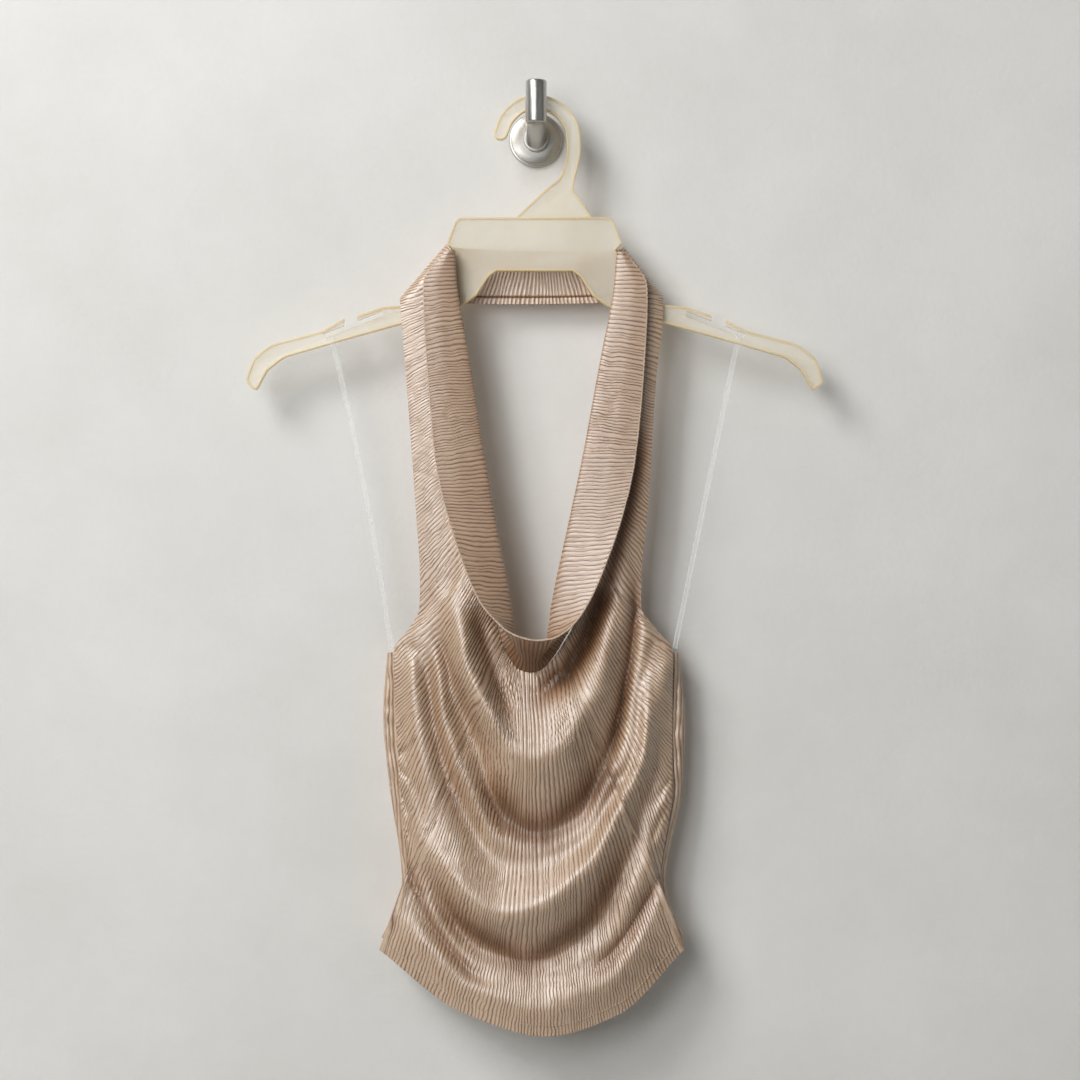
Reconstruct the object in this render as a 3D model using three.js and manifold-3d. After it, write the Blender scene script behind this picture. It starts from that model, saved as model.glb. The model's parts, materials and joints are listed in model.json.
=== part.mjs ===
// A halter top with a cowl neck, in crinkle-pleated satin, on a moulded hanger that hangs from a
// steel wall hook. Millimetres, +Z up, +X to the right of a viewer who faces the wall, +Y into
// the wall. The origin is the centre of the hook rose's back face, so the wall is the plane y = 0.
import * as THREE from 'three';
import { mergeVertices } from 'three/addons/utils/BufferGeometryUtils.js';
import Module from 'manifold-3d';

// ---- driving dimensions -------------------------------------------------------------------
const CLOTH = 1.5;            // thickness of every cloth wall
const SEAM = 0.3;             // gap between neighbouring pieces
const RIB_RISE = 0.8;         // how far a crinkle rib stands out of its wall
const FRONT_RIBS = 84;        // raised ribs of each piece, from side to side
const COLLAR_RIBS = 52;
const BACK_RIBS = 30;
const BAND_RIBS = 18;
const TURN = 5;               // half the length over which a fold's crest is rounded
const FOLD_RADIUS = 8;        // how soon the cloth turns down from the hanger's shoulder
const DRAPE_FADE = 42;        // distance from the panel's edge over which the drape dies out

const HANGER_MIDDLE = 28.5;   // distance of the hanger's middle plane from the wall
const HANGER_AXIS = -1.2;     // x of the hanger's plane of symmetry
const RIM_DEPTH = 9;          // depth of the hanger's rims, front to back
const RIM_WIDTH = 3.6;        // width of the rims, seen from the front
const WEB_DEPTH = 3;          // depth of the thin plate between the rims
const HOOK_WIDTH = 10.4;      // width of the hanger's hook, seen from the front
const HOOK_RIM = 2.6;         // width of the rims on the hook and the stem
const SLOT_HEIGHT = 3.6;      // height of the strap slots in the arms

const ROSE_RADIUS = 20.6;
const ROSE_DEPTH = 5;
const ROSE_BEVEL = 1.2;
const RING_RADIUS = 9.6;      // the small ring at the foot of the hook's neck
const RING_DEPTH = 2.4;
const PEG_OUT = 42;           // distance of the upright peg's axis from the wall
const PEG_RADIUS = 8;
const PEG_BEVEL = 1;
const PEG_BOTTOM = 6.6;
const PEG_TOP = 38.9;
const NECK_RADIUS = 6.4;      // of the hook's neck where it meets the peg
const NECK_RISE = 0.4;        // rise of the hook's neck for each millimetre away from the wall

const TAPE_WIDTH = 3.6;       // clear elastic tape of the hang loops
const TAPE_DEPTH = 1;

const COLLAR_CROWN = 1.5;     // how far the collar's fall bulges forwards
const COLLAR_LIFT = 0.51;     // gap between the neck seam and the collar's first edge
const COLLAR_TURN = 1.6;      // sharpest turn at the neck seam that the gap allows for
const BACK_OUT = 12;          // distance of the back panel from the wall
const BACK_SEAM = 0.9;        // from the side seam to the middle of the back's first edge
const BACK_LEAD = 3;          // how far the back carries on in line with the front
const BACK_ROLL = 8.5;        // depth of the side roll, out from the side seam
const BACK_ROLL_END = 3;      // how far the roll's end still stands off the flat of the back
const BACK_ROLL_IN = 8;       // how far inside the side seam the flat of the back begins
const BACK_REACH = 72;        // half the width over which the back lies flat
const BACK_WAVE = 1.5;        // height of the back panel's shallow waves at the hem
const BACK_WAVE_WIDTH = 6.4;  // width of those waves, over a full turn in radians
const BACK_TOP_DIP = 8;       // how far the back's top and hem hang below their corners
const BACK_HEM_DIP = 42;
const BAND_OUT = 19.2;        // distance of the back neck band from the wall
const BAND_FOLD = 4.6;        // how soon the band turns down behind the hanger's shoulder
const BAND_SEAM = 1.05;       // between the band's first middle line and the strap's last one
const BAND_TOP_SAG = 3;       // how far the band's edges hang below their ends
const BAND_SAG = 4;
const LOOP_TOP_HALF = 5.1;    // half the gap between a loop's strands, at the arm and at the foot
const LOOP_FOOT_HALF = 2.2;
const LOOP_STATIONS = 14;

// How far the back panel's side roll stands out beyond the side seam, from underarm to hem.
const ROLL = { part: [0, 0.35, 0.57, 0.79, 1], width: [4.5, 9.5, 7.5, 3.5, 2.5] };

// Ribs that end on each side seam, from underarm to hem, and the share of a rib that shows
// which way the front runs out there.
const LEFT_SEAM = [61, 87];
const RIGHT_SEAM = [163, 137];
const SEAM_SHARE = 0.985;

// Feet and tops of the hang loops, [x, z], and how far each hangs out of the straight.
const LEFT_LOOP = { top: [-155.1, -151.4], foot: [-109.4, -388.6], slack: 3 };
const RIGHT_LOOP = { top: [153.3, -151.4], foot: [104.8, -388.4], slack: 0 };

// ---- hanger outline -----------------------------------------------------------------------
// Right half of the plate and arm as [x from the hanger's axis, z, corner radius], clockwise.
const HALF_HANGER = [
  [59, -62.9, 3], [66.3, -77.2, 1.5], [61.5, -86.4], [94.6, -129, 4], [113.5, -130.4],
  [133.1, -136.7], [144.1, -139.7], [159.6, -148.4], [199.7, -159, 6], [212.6, -169.6, 5],
  [218.6, -187, 4], [210.5, -194.6, 4], [202, -178.7], [189.9, -168.8, 5], [151.3, -157.5],
  [98.3, -142.7], [55.2, -130.2, 4], [43.9, -121.9], [34.4, -107.2, 3], [28.7, -103.3],
];
const STEM = [[-15.7, -62.6], [17.4, -31.9], [29.3, -36.2], [27.8, -44.5], [42.4, -63.8]];
const HOOK_LINE = [[-27.4, -2], [-22.7, 10.6], [-14.4, 19.7], [-4, 24.2], [7.7, 23.2], [18.2, 17.6],
  [25.7, 8], [28.4, -4.1], [28.4, -14.7], [27.3, -24.6], [23.2, -34.6]];
const SLOT_LINE = [[114.6, -135.5], [158.5, -152.3]];
const SLOT_MOUTH = [[133.7, -131], [143.9, -131], [143.9, -147], [133.7, -143.5]];

// ---- the cut of the front -----------------------------------------------------------------
// One row for each rib that was measured, from the left shoulder to the right one. "rib" counts
// the ribs from the left. "neck", "roll", "free" and "edge" are [x, z, distance from the wall]:
// where the rib leaves the neck seam, where the collar rolls over, where its free edge hangs, and
// where the rib ends, on the shoulder, armhole, side seam or hem. "bow" bends the rib sideways,
// "folds" says how strongly the drape shows there, and "crown" rounds the panel forwards.
const RIBS = [
  { rib: 0, neck: [-63.3, -88.1, 37], roll: [-61.7, -88.4, 40.5], free: [-68, -89.6, 42],
    edge: [-67.7, -83, 37], bow: 0, folds: 0, crown: 0 },
  { rib: 8, neck: [-64.8, -113, 37], roll: [-60.1, -112, 42], free: [-84, -114.4, 44.5],
    edge: [-102.5, -123.5, 36.5], bow: 0, folds: 0, crown: 1 },
  { rib: 11, neck: [-63.6, -122, 37], roll: [-58.9, -121, 42], free: [-84, -125, 45],
    edge: [-101.6, -135.5, 36], bow: 0, folds: 0, crown: 2 },
  { rib: 26, neck: [-54.2, -175.5, 37], roll: [-49.6, -174.3, 42], free: [-81, -180.5, 46],
    edge: [-96.5, -199.5, 36], bow: 0, folds: 0, crown: 3 },
  { rib: 42, neck: [-44.4, -244.7, 37], roll: [-39.1, -242.6, 42], free: [-74.9, -247.3, 48],
    edge: [-90.4, -283.9, 36], bow: 0, folds: 0, crown: 3 },
  { rib: 50, neck: [-40, -270.9, 37], roll: [-34.7, -268.5, 42.2], free: [-70.7, -269.7, 49.6],
    edge: [-87.2, -336, 34.8], bow: 2, folds: 0.06, crown: 4.7 },
  { rib: 54, neck: [-38, -282.9, 37], roll: [-32.6, -280.3, 42.3], free: [-68.2, -279.7, 50.5],
    edge: [-87.8, -358, 33.6], bow: 5, folds: 0.12, crown: 6.2 },
  { rib: 57, neck: [-36.6, -292.2, 37], roll: [-31, -289.4, 42.4], free: [-66, -287.4, 51.2],
    edge: [-95.5, -373.5, 32.2], bow: 8, folds: 0.2, crown: 7.3 },
  { rib: 60, neck: [-35.4, -302, 37], roll: [-29.3, -299, 42.5], free: [-63.6, -296, 52],
    edge: [-107.3, -390.5, 31], bow: 9, folds: 0.3, crown: 8 },
  { rib: 76, neck: [-30.9, -360.8, 36], roll: [-18.8, -356.1, 43], free: [-42.5, -351.2, 57],
    edge: [-102.8, -495.4, 31], bow: -2, folds: 0.6, crown: 10 },
  { rib: 82, neck: [-25.6, -384.9, 35.5], roll: [-16.5, -375.6, 43], free: [-30.5, -366.1, 59],
    edge: [-97.4, -563.1, 33], bow: -11, folds: 0.8, crown: 9 },
  { rib: 88, neck: [-20.4, -396.2, 35], roll: [-14.3, -389.1, 43], free: [-21.5, -374.2, 61],
    edge: [-117.6, -615.4, 36], bow: -5, folds: 0.9, crown: 9 },
  { rib: 100, neck: [-12.8, -404.5, 35], roll: [-9.8, -396.6, 43], free: [-11.1, -379, 62],
    edge: [-55.3, -659.6, 50], bow: 9, folds: 1, crown: 8 },
  { rib: 112, neck: [-3.8, -406.8, 35], roll: [-3, -398.9, 43], free: [0, -381.2, 62],
    edge: [6.7, -676.4, 56], bow: 1, folds: 1, crown: 8 },
  { rib: 124, neck: [5.3, -403.8, 35], roll: [3.8, -395.9, 43], free: [11.2, -380.1, 62],
    edge: [60.6, -661.8, 50], bow: 3, folds: 1, crown: 8 },
  { rib: 136, neck: [14.3, -394, 35], roll: [6.8, -387.6, 43], free: [23.1, -373.8, 61],
    edge: [112.3, -613.9, 36], bow: 2, folds: 0.9, crown: 9 },
  { rib: 142, neck: [21.1, -383.4, 35.5], roll: [9, -375.6, 43], free: [31.3, -365.3, 59],
    edge: [93.6, -563.1, 33], bow: 7, folds: 0.8, crown: 9 },
  { rib: 148, neck: [29.4, -366.8, 36], roll: [12, -354.6, 43], free: [42.5, -346.8, 57],
    edge: [102.7, -495.4, 31], bow: -3, folds: 0.6, crown: 10 },
  { rib: 164, neck: [36.9, -307.3, 37], roll: [24, -297.5, 42.5], free: [62.8, -293.8, 52],
    edge: [102.7, -390.5, 31], bow: -9, folds: 0.25, crown: 8 },
  { rib: 167, neck: [37.9, -297.1, 37], roll: [26, -288.3, 42.4], free: [65.2, -285.3, 51.2],
    edge: [90.5, -374, 32.2], bow: -8, folds: 0.2, crown: 7.3 },
  { rib: 170, neck: [38.7, -287.4, 37], roll: [27.8, -279.8, 42.3], free: [67.4, -277.6, 50.5],
    edge: [79.8, -358, 33.6], bow: -5, folds: 0.12, crown: 6.2 },
  { rib: 174, neck: [39.7, -274.7, 37], roll: [30.2, -268.7, 42.2], free: [69.9, -267.5, 49.6],
    edge: [79.3, -336, 34.8], bow: -2, folds: 0.06, crown: 4.7 },
  { rib: 182, neck: [42.2, -247, 37], roll: [35.3, -244.2, 42], free: [74.2, -245.1, 48],
    edge: [84.8, -276.4, 36], bow: 0, folds: 0, crown: 3 },
  { rib: 198, neck: [53.5, -173.9, 37], roll: [48.1, -174.3, 42], free: [80.6, -180.5, 46],
    edge: [90, -190.5, 36], bow: 0, folds: 0, crown: 3 },
  { rib: 213, neck: [62.4, -123, 37], roll: [57.8, -124, 42], free: [83.3, -125, 45],
    edge: [95.4, -135, 36], bow: 0, folds: 0, crown: 2 },
  { rib: 216, neck: [63.3, -114.4, 37], roll: [59, -114.9, 42], free: [82.9, -115.1, 44.5],
    edge: [95.6, -122.7, 36.5], bow: 0, folds: 0, crown: 1 },
  { rib: 224, neck: [63.3, -89.6, 37], roll: [60.9, -89.9, 40.5], free: [67.4, -91, 42],
    edge: [66.1, -85, 37], bow: 0, folds: 0, crown: 0 },
];

// The ribs that end on the straps' outer corners and on the hem's corners.
const CORNERS = [8, 88, 136, 216];
const SHOULDER_ENDS = [0, 8, 216, 224];

// Where each fold line of the drape crosses the ribs: "rise" is how far it stands off the panel's
// even surface, and "at" is its place along the rib, from 0 at the neck to 1 at the edge.
const BODY_RIBS = [60, 76, 82, 88, 100, 112, 124, 136, 142, 148, 164];
const FOLDS = [
  { line: 'top crest', rise: 21,
    at: [0.44, 0.29, 0.19, 0.16, 0.23, 0.23, 0.22, 0.20, 0.24, 0.30, 0.46] },
  { line: 'top valley', rise: -14,
    at: [0.62, 0.45, 0.32, 0.28, 0.43, 0.44, 0.43, 0.38, 0.43, 0.52, 0.6] },
  { line: 'side crest', rise: -5,
    at: [0.69, 0.53, 0.41, 0.36, 0.49, 0.48, 0.47, 0.42, 0.50, 0.60, 0.68] },
  { line: 'side valley', rise: -5,
    at: [0.76, 0.63, 0.50, 0.43, 0.56, 0.53, 0.50, 0.46, 0.57, 0.68, 0.73] },
  { line: 'middle crest', rise: 15,
    at: [0.85, 0.91, 0.82, 0.65, 0.69, 0.63, 0.56, 0.51, 0.61, 0.76, 0.82] },
  { line: 'middle valley', rise: -14,
    at: [0.90, 0.94, 0.89, 0.72, 0.81, 0.79, 0.73, 0.64, 0.74, 0.85, 0.89] },
  { line: 'low side crest', rise: -7,
    at: [0.93, 0.96, 0.92, 0.78, 0.85, 0.83, 0.79, 0.73, 0.83, 0.92, 0.94] },
  { line: 'low side valley', rise: -6,
    at: [0.96, 0.98, 0.95, 0.82, 0.88, 0.86, 0.83, 0.78, 0.89, 0.95, 0.96] },
  { line: 'low crest', rise: 9,
    at: [0.98, 0.99, 0.97, 0.87, 0.92, 0.93, 0.90, 0.85, 0.95, 0.98, 0.98] },
];
// Extra rise of the two side folds, which show on the flanks and die out at the centre.
const SIDE_FOLDS = [0.3, 1, 1, 0.9, 0.25, 0, 0.15, 0.5, 0.5, 0.4, 0.2];
const SIDE_RISES = { 'side crest': 11, 'side valley': -3, 'low side crest': 13, 'low side valley': 5 };

// Rows of the panel between its fold lines, as parts of each span from neck to edge.
const SPANS = [[0, 0.35, 0.85], [0, 0.15, 0.85], [0, 0.5], [0], [0, 0.2, 0.85], [0, 0.15, 0.8],
  [0], [0], [0, 0.5], [0]];

// ---- small tools --------------------------------------------------------------------------
const wasm = await Module();
wasm.setup();

// Monotone cubic through (xs, ys), so that nothing overshoots between two rows of a table.
function monotone(xs, ys) {
  const last = xs.length - 1;
  const slope = (i) => (ys[i + 1] - ys[i]) / (xs[i + 1] - xs[i]);
  const tangents = xs.map((_, i) => {
    if (i === 0) return slope(0);
    if (i === last) return slope(last - 1);
    const before = slope(i - 1);
    const after = slope(i);
    return before * after <= 0 ? 0 : (2 * before * after) / (before + after);
  });
  return (x) => {
    const held = Math.min(Math.max(x, xs[0]), xs[last]);
    let i = 0;
    while (i < last - 1 && held > xs[i + 1]) i += 1;
    const span = xs[i + 1] - xs[i];
    const t = (held - xs[i]) / span;
    const rest = 1 - t;
    return ys[i] * (1 + 2 * t) * rest * rest + ys[i + 1] * t * t * (3 - 2 * t)
      + span * t * rest * (rest * tangents[i] - t * tangents[i + 1]);
  };
}

// The same, but free to turn sharply at each of "corners".
function cornered(xs, ys, corners) {
  const ends = [...corners, xs.at(-1)];
  const parts = ends.map((end, i) => {
    const range = [xs.indexOf(i === 0 ? xs[0] : ends[i - 1]), xs.indexOf(end) + 1];
    return monotone(xs.slice(...range), ys.slice(...range));
  });
  return (x) => parts[corners.filter((corner) => x > corner).length](x);
}

const ribNumbers = RIBS.map((row) => row.rib);
const LAST_RIB = ribNumbers.at(-1);
const column = (read) => monotone(ribNumbers, RIBS.map(read));
const place = (key) => [0, 1, 2].map((axis) => column((row) => row[key][axis]));
const outline = [0, 1, 2].map((axis) =>
  cornered(ribNumbers, RIBS.map((row) => row.edge[axis]), CORNERS));
const PLACES = { neck: place('neck'), roll: place('roll'), free: place('free'), edge: outline };
const bow = column((row) => row.bow);
const foldShare = column((row) => row.folds);
const crown = column((row) => row.crown);
const sideShare = monotone(BODY_RIBS, SIDE_FOLDS);
const crossings = FOLDS.map((fold) => monotone(BODY_RIBS, fold.at));
const sideRoll = monotone(ROLL.part, ROLL.width);

// A named point of a rib as [x, z, distance from the wall].
const ribPoint = (key, rib) => PLACES[key].map((read) => read(rib));
const toVector = ([x, z, out]) => new THREE.Vector3(x, -out, z);

// The two slanting lines on which the straps fold over the hanger, outwards and downwards.
const SHOULDERS = [[0, 8], [224, 216]].map(([inner, outer]) => {
  const from = ribPoint('edge', inner);
  const to = ribPoint('edge', outer);
  const length = Math.hypot(to[0] - from[0], to[1] - from[1]);
  const along = [(to[0] - from[0]) / length, (to[1] - from[1]) / length];
  const side = Math.sign(to[0]);
  return { from, inwards: [side * along[1], -side * along[0]] };
});

// Distance below the nearer shoulder fold, in the plane of the wall.
function belowShoulder(x, z) {
  return Math.min(...SHOULDERS.map(({ from, inwards }) =>
    (x - from[0]) * inwards[0] + (z - from[1]) * inwards[1]));
}

// Turns a surface at distance "out" over the hanger's shoulder, on a quarter of an ellipse.
function overShoulder(x, z, out, radius = FOLD_RADIUS) {
  const below = Math.max(belowShoulder(x, z), 0);
  if (below >= radius) return out;
  return HANGER_MIDDLE + (out - HANGER_MIDDLE) * Math.sqrt(1 - (1 - below / radius) ** 2);
}

// ---- walls of cloth -----------------------------------------------------------------------
// A closed wall on a grid of middle points, grid[column][row]. The outer face carries "rise" at
// each point. The inner face is plain and has only the columns that "keeps" picks, which include
// the first and the last one.
function wall(grid, rise, keeps, outwards) {
  const columns = grid.length - 1;
  const rows = grid[0].length - 1;
  const at = (i, j) => grid[Math.min(Math.max(i, 0), columns)][Math.min(Math.max(j, 0), rows)];
  const normal = (i, j) => {
    const row = Math.min(j, rows - 1);
    const across = at(i + 1, row).clone().sub(at(i - 1, row));
    const down = at(i, row + 1).clone().sub(at(i, row - 1));
    return across.cross(down).normalize().multiplyScalar(outwards);
  };
  const positions = [];
  const add = (point) => positions.push(point.x, point.y, point.z) / 3 - 1;
  const outer = grid.map((line, i) => line.map((point, j) =>
    add(point.clone().addScaledVector(normal(i, j), CLOTH / 2 + rise(i, j)))));
  const kept = grid.map((_, i) => i).filter(keeps);
  const inner = kept.map((i) => grid[i].map((point, j) =>
    add(point.clone().addScaledVector(normal(i, j), -CLOTH / 2))));
  const faces = [];
  const triangle = (a, b, c) => faces.push(...(outwards > 0 ? [a, b, c] : [a, c, b]));
  const quad = (a, b, c, d) => {
    triangle(a, b, c);
    triangle(a, c, d);
  };
  for (let j = 0; j < rows; j += 1) {
    for (let i = 0; i < columns; i += 1) {
      quad(outer[i][j], outer[i + 1][j], outer[i + 1][j + 1], outer[i][j + 1]);
    }
    for (let i = 0; i < inner.length - 1; i += 1) {
      quad(inner[i][j], inner[i][j + 1], inner[i + 1][j + 1], inner[i + 1][j]);
    }
    quad(outer[0][j], outer[0][j + 1], inner[0][j + 1], inner[0][j]);
    quad(outer[columns][j], inner.at(-1)[j], inner.at(-1)[j + 1], outer[columns][j + 1]);
  }
  for (let i = 0; i < inner.length - 1; i += 1) {
    const middle = Math.ceil((kept[i] + kept[i + 1]) / 2);
    for (let k = kept[i]; k < kept[i + 1]; k += 1) {
      const nearer = inner[k < middle ? i : i + 1];
      triangle(nearer[0], outer[k + 1][0], outer[k][0]);
      triangle(nearer[rows], outer[k][rows], outer[k + 1][rows]);
    }
    triangle(inner[i][0], inner[i + 1][0], outer[middle][0]);
    triangle(inner[i][rows], outer[middle][rows], inner[i + 1][rows]);
  }
  const geometry = new THREE.BufferGeometry();
  geometry.setAttribute('position', new THREE.Float32BufferAttribute(positions, 3));
  geometry.setIndex(faces);
  return geometry;
}

const everySecond = (i) => i % 2 === 0;

// Every other column is raised into a rib, and the ribs fade at a wall's first and last row.
const ribbed = (rows) => (i, j) => (i % 2 === 1 && j > 0 && j < rows ? RIB_RISE : 0);

// Even steps from "from" to "to", both included.
const steps = (from, to, count) =>
  Array.from({ length: count + 1 }, (_, i) => from + ((to - from) * i) / count);

// ---- front panel --------------------------------------------------------------------------
// How many of the panel's columns its inner face has, counted from the nearer side.
const INNER_COLUMNS = [{ from: 0, every: 1 }, { from: 12, every: 4 }, { from: 40, every: 1 },
  { from: 48, every: 2 }, { from: 80, every: 4 }];

// Height of the drape over the panel's even surface at "t" along a rib.
function drape(rib, t) {
  const knots = [0, ...crossings.map((crossing) => crossing(rib)), 1];
  const rises = [0, ...FOLDS.map((fold) =>
    fold.rise + (SIDE_RISES[fold.line] ?? 0) * sideShare(rib)), 0];
  let i = 0;
  while (i < knots.length - 2 && t > knots[i + 1]) i += 1;
  const share = Math.min(Math.max((t - knots[i]) / (knots[i + 1] - knots[i]), 0), 1);
  return (rises[i] + (rises[i + 1] - rises[i]) * share) * foldShare(rib);
}

// Distance to the panel's cut edge, in the plane of the wall.
const EDGE = steps(8, 216, 104).map((rib) => ribPoint('edge', rib));
const fromEdge = (x, z) => Math.min(...EDGE.map(([ex, ez]) => Math.hypot(x - ex, z - ez)));

// A point of the front's middle surface, "t" along a rib from the neck to the edge. Averaging
// the drape over a short stretch rounds its crests and valleys.
function frontPoint(rib, t) {
  const neck = ribPoint('neck', rib);
  const edge = ribPoint('edge', rib);
  const length = Math.hypot(edge[0] - neck[0], edge[1] - neck[1]);
  const side = [-(edge[1] - neck[1]) / length, (edge[0] - neck[0]) / length];
  const swing = bow(rib) * 4 * t * (1 - t);
  const x = neck[0] + (edge[0] - neck[0]) * t + side[0] * swing;
  const z = neck[1] + (edge[1] - neck[1]) * t + side[1] * swing;
  const reach = Math.min(t, 1 - t, TURN / length);
  const samples = [-1, -0.5, 0, 0.5, 1].map((share) => drape(rib, t + reach * share));
  const fade = Math.min(1, fromEdge(x, z) / DRAPE_FADE);
  const relief = (fade * samples.reduce((sum, value) => sum + value, 0)) / samples.length;
  const even = neck[2] + (edge[2] - neck[2]) * t + crown(rib) * 4 * t * (1 - t);
  return toVector([x, z, overShoulder(x, z, even + relief)]);
}

// The rows of one rib: its fold lines, with more rows between them where the drape turns.
function frontRows(rib) {
  const knots = [0, ...crossings.map((crossing) => crossing(rib)), 1];
  const rows = SPANS.flatMap((parts, i) =>
    parts.map((part) => knots[i] + (knots[i + 1] - knots[i]) * part));
  return [...rows, 1];
}

function frontPanel() {
  const ribs = steps(0, LAST_RIB, FRONT_RIBS * 2);
  const grid = ribs.map((rib) => frontRows(rib).map((t) => frontPoint(rib, t)));
  const keeps = (i) => {
    const fromSide = Math.min(i, ribs.length - 1 - i);
    return i % INNER_COLUMNS.findLast((row) => fromSide >= row.from).every === 0;
  };
  return wall(grid, ribbed(grid[0].length - 1), keeps, -1);
}

// ---- collar -------------------------------------------------------------------------------
// The collar leaves the neck seam inwards, rolls over and falls outwards to its free edge. Where
// it meets the panel at an angle, it starts further from the seam so that the walls stay apart.
function collar() {
  const rows = [0, 0.2, 0.3333, 0.45, 0.6667, 0.85, 1];
  const grid = steps(0, LAST_RIB, COLLAR_RIBS * 2).map((rib) => {
    const seam = frontPoint(rib, 0);
    const roll = toVector(ribPoint('roll', rib));
    const free = toVector(ribPoint('free', rib));
    const fall = roll.clone().lerp(free, 0.5).add(new THREE.Vector3(0, -COLLAR_CROWN, 0));
    const away = roll.clone().sub(seam).normalize();
    const panel = frontPoint(rib, 0.04).sub(seam).normalize();
    const turn = Math.PI - away.angleTo(panel);
    const start = seam.addScaledVector(away,
      COLLAR_LIFT + CLOTH * Math.tan(Math.min(turn, COLLAR_TURN) / 2));
    const profile = new THREE.CatmullRomCurve3([start, roll, fall, free]);
    return rows.map((share) => profile.getPoint(share));
  });
  return wall(grid, ribbed(rows.length - 1), everySecond, -1);
}

// ---- back panel ---------------------------------------------------------------------------
// The front's side seam on one rib: its point, and the direction in which the front runs out.
function sideSeam(rib) {
  const point = frontPoint(rib, 1);
  const down = frontPoint(rib + 1, 1).sub(frontPoint(rib - 1, 1));
  const ribWay = point.clone().sub(frontPoint(rib, SEAM_SHARE));
  const normal = down.clone().cross(ribWay);
  const outwards = normal.cross(down).normalize();
  outwards.multiplyScalar(Math.sign(outwards.dot(ribWay)));
  return { point, outwards };
}

// A low back from underarm to hem. Its sides roll round to the front and meet the side seams.
function backPanel() {
  const rows = steps(0, 1, 8);
  const ribs = [LEFT_SEAM, RIGHT_SEAM].map((ends) => monotone([0, 1], ends));
  const section = (share) => {
    const [left, right] = ribs.map((rib) => sideSeam(rib(share)));
    const width = sideRoll(share);
    const side = ({ point, outwards }, sign) => {
      const start = point.clone().addScaledVector(outwards, BACK_SEAM);
      const lead = point.clone().addScaledVector(outwards, BACK_LEAD);
      return [
        [start.x, -start.y],
        [lead.x, -lead.y],
        [point.x + sign * width, -point.y - BACK_ROLL],
        [point.x + (sign * width) / 2, BACK_OUT + BACK_ROLL_END],
        [point.x - sign * BACK_ROLL_IN, BACK_OUT],
      ];
    };
    const middle = steps(-BACK_REACH, BACK_REACH, 8).map((x) =>
      [x, BACK_OUT + BACK_WAVE * Math.cos(x / BACK_WAVE_WIDTH) * share]);
    const plan = [...side(left, -1), ...middle, ...side(right, 1).reverse()];
    const curve = new THREE.CatmullRomCurve3(plan.map(([x, out]) => new THREE.Vector3(x, -out, 0)));
    const fall = right.point.z - left.point.z;
    const drop = BACK_TOP_DIP + (BACK_HEM_DIP - BACK_TOP_DIP) * share;
    return steps(0, 1, BACK_RIBS * 2).map((along) => {
      const point = curve.getPointAt(along);
      point.z = left.point.z + fall * along - drop * Math.sin(Math.PI * along) ** 2;
      return point;
    });
  };
  const sections = rows.map(section);
  const grid = sections[0].map((_, i) => sections.map((points) => points[i]));
  return wall(grid, ribbed(rows.length - 1), everySecond, 1);
}

// ---- back neck band -----------------------------------------------------------------------
// The straps' ends, joined behind the hanger's plate into one band with upright ribs.
function backNeckBand() {
  const [topLeft, bottomLeft, bottomRight, topRight] = SHOULDER_ENDS.map((rib) =>
    frontPoint(rib, 1));
  const rows = steps(0, 1, 4);
  const grid = steps(0, 1, BAND_RIBS * 2).map((share) => {
    const across = topLeft.clone().lerp(topRight, share);
    const below = bottomLeft.clone().lerp(bottomRight, share);
    const sag = Math.sin(Math.PI * share) ** 0.5;
    across.z -= BAND_TOP_SAG * sag;
    below.z -= BAND_SAG * sag;
    return rows.map((row) => {
      const point = across.clone().lerp(below, row);
      point.y = BAND_SEAM - overShoulder(point.x, point.z, BAND_OUT, BAND_FOLD);
      return point;
    });
  });
  return wall(grid, ribbed(rows.length - 1), everySecond, 1);
}

// ---- solids joined and cut ----------------------------------------------------------------
function toBare(geometry) {
  geometry.deleteAttribute('normal');
  geometry.deleteAttribute('uv');
  return mergeVertices(geometry);
}

function toSolid(geometry) {
  const merged = toBare(geometry);
  return new wasm.Manifold(new wasm.Mesh({
    numProp: 3,
    vertProperties: new Float32Array(merged.attributes.position.array),
    triVerts: new Uint32Array(merged.index.array),
  }));
}

function toGeometry(solid) {
  const mesh = solid.getMesh();
  const geometry = new THREE.BufferGeometry();
  geometry.setAttribute('position', new THREE.BufferAttribute(mesh.vertProperties, 3));
  geometry.setIndex(new THREE.BufferAttribute(mesh.triVerts, 1));
  return geometry;
}

// A flat plate with the outline "points" ([x, z]), standing in the hanger's middle plane.
function plate(points, depth, middle = HANGER_MIDDLE) {
  const shape = new THREE.Shape(points.map(([x, z]) => new THREE.Vector2(x, z)));
  const geometry = new THREE.ExtrudeGeometry(shape, { depth, bevelEnabled: false });
  geometry.rotateX(Math.PI / 2);
  geometry.translate(0, depth / 2 - middle, 0);
  return toSolid(geometry);
}

const toFlat = ([x, z]) => new THREE.Vector2(x, z);

// An outline whose corners, [x, z, radius], are rounded by arcs of a few steps.
function rounded(corners, arc = 2) {
  return corners.flatMap(([x, z, radius = 0], i) => {
    if (radius === 0) return [[x, z]];
    const corner = new THREE.Vector2(x, z);
    const ends = [corners.at(i - 1), corners[(i + 1) % corners.length]].map(([nx, nz]) =>
      new THREE.Vector2(nx, nz).sub(corner).setLength(radius).add(corner));
    const bend = new THREE.QuadraticBezierCurve(ends[0], corner, ends[1]);
    return bend.getPoints(arc).map((point) => [point.x, point.y]);
  });
}

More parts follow.
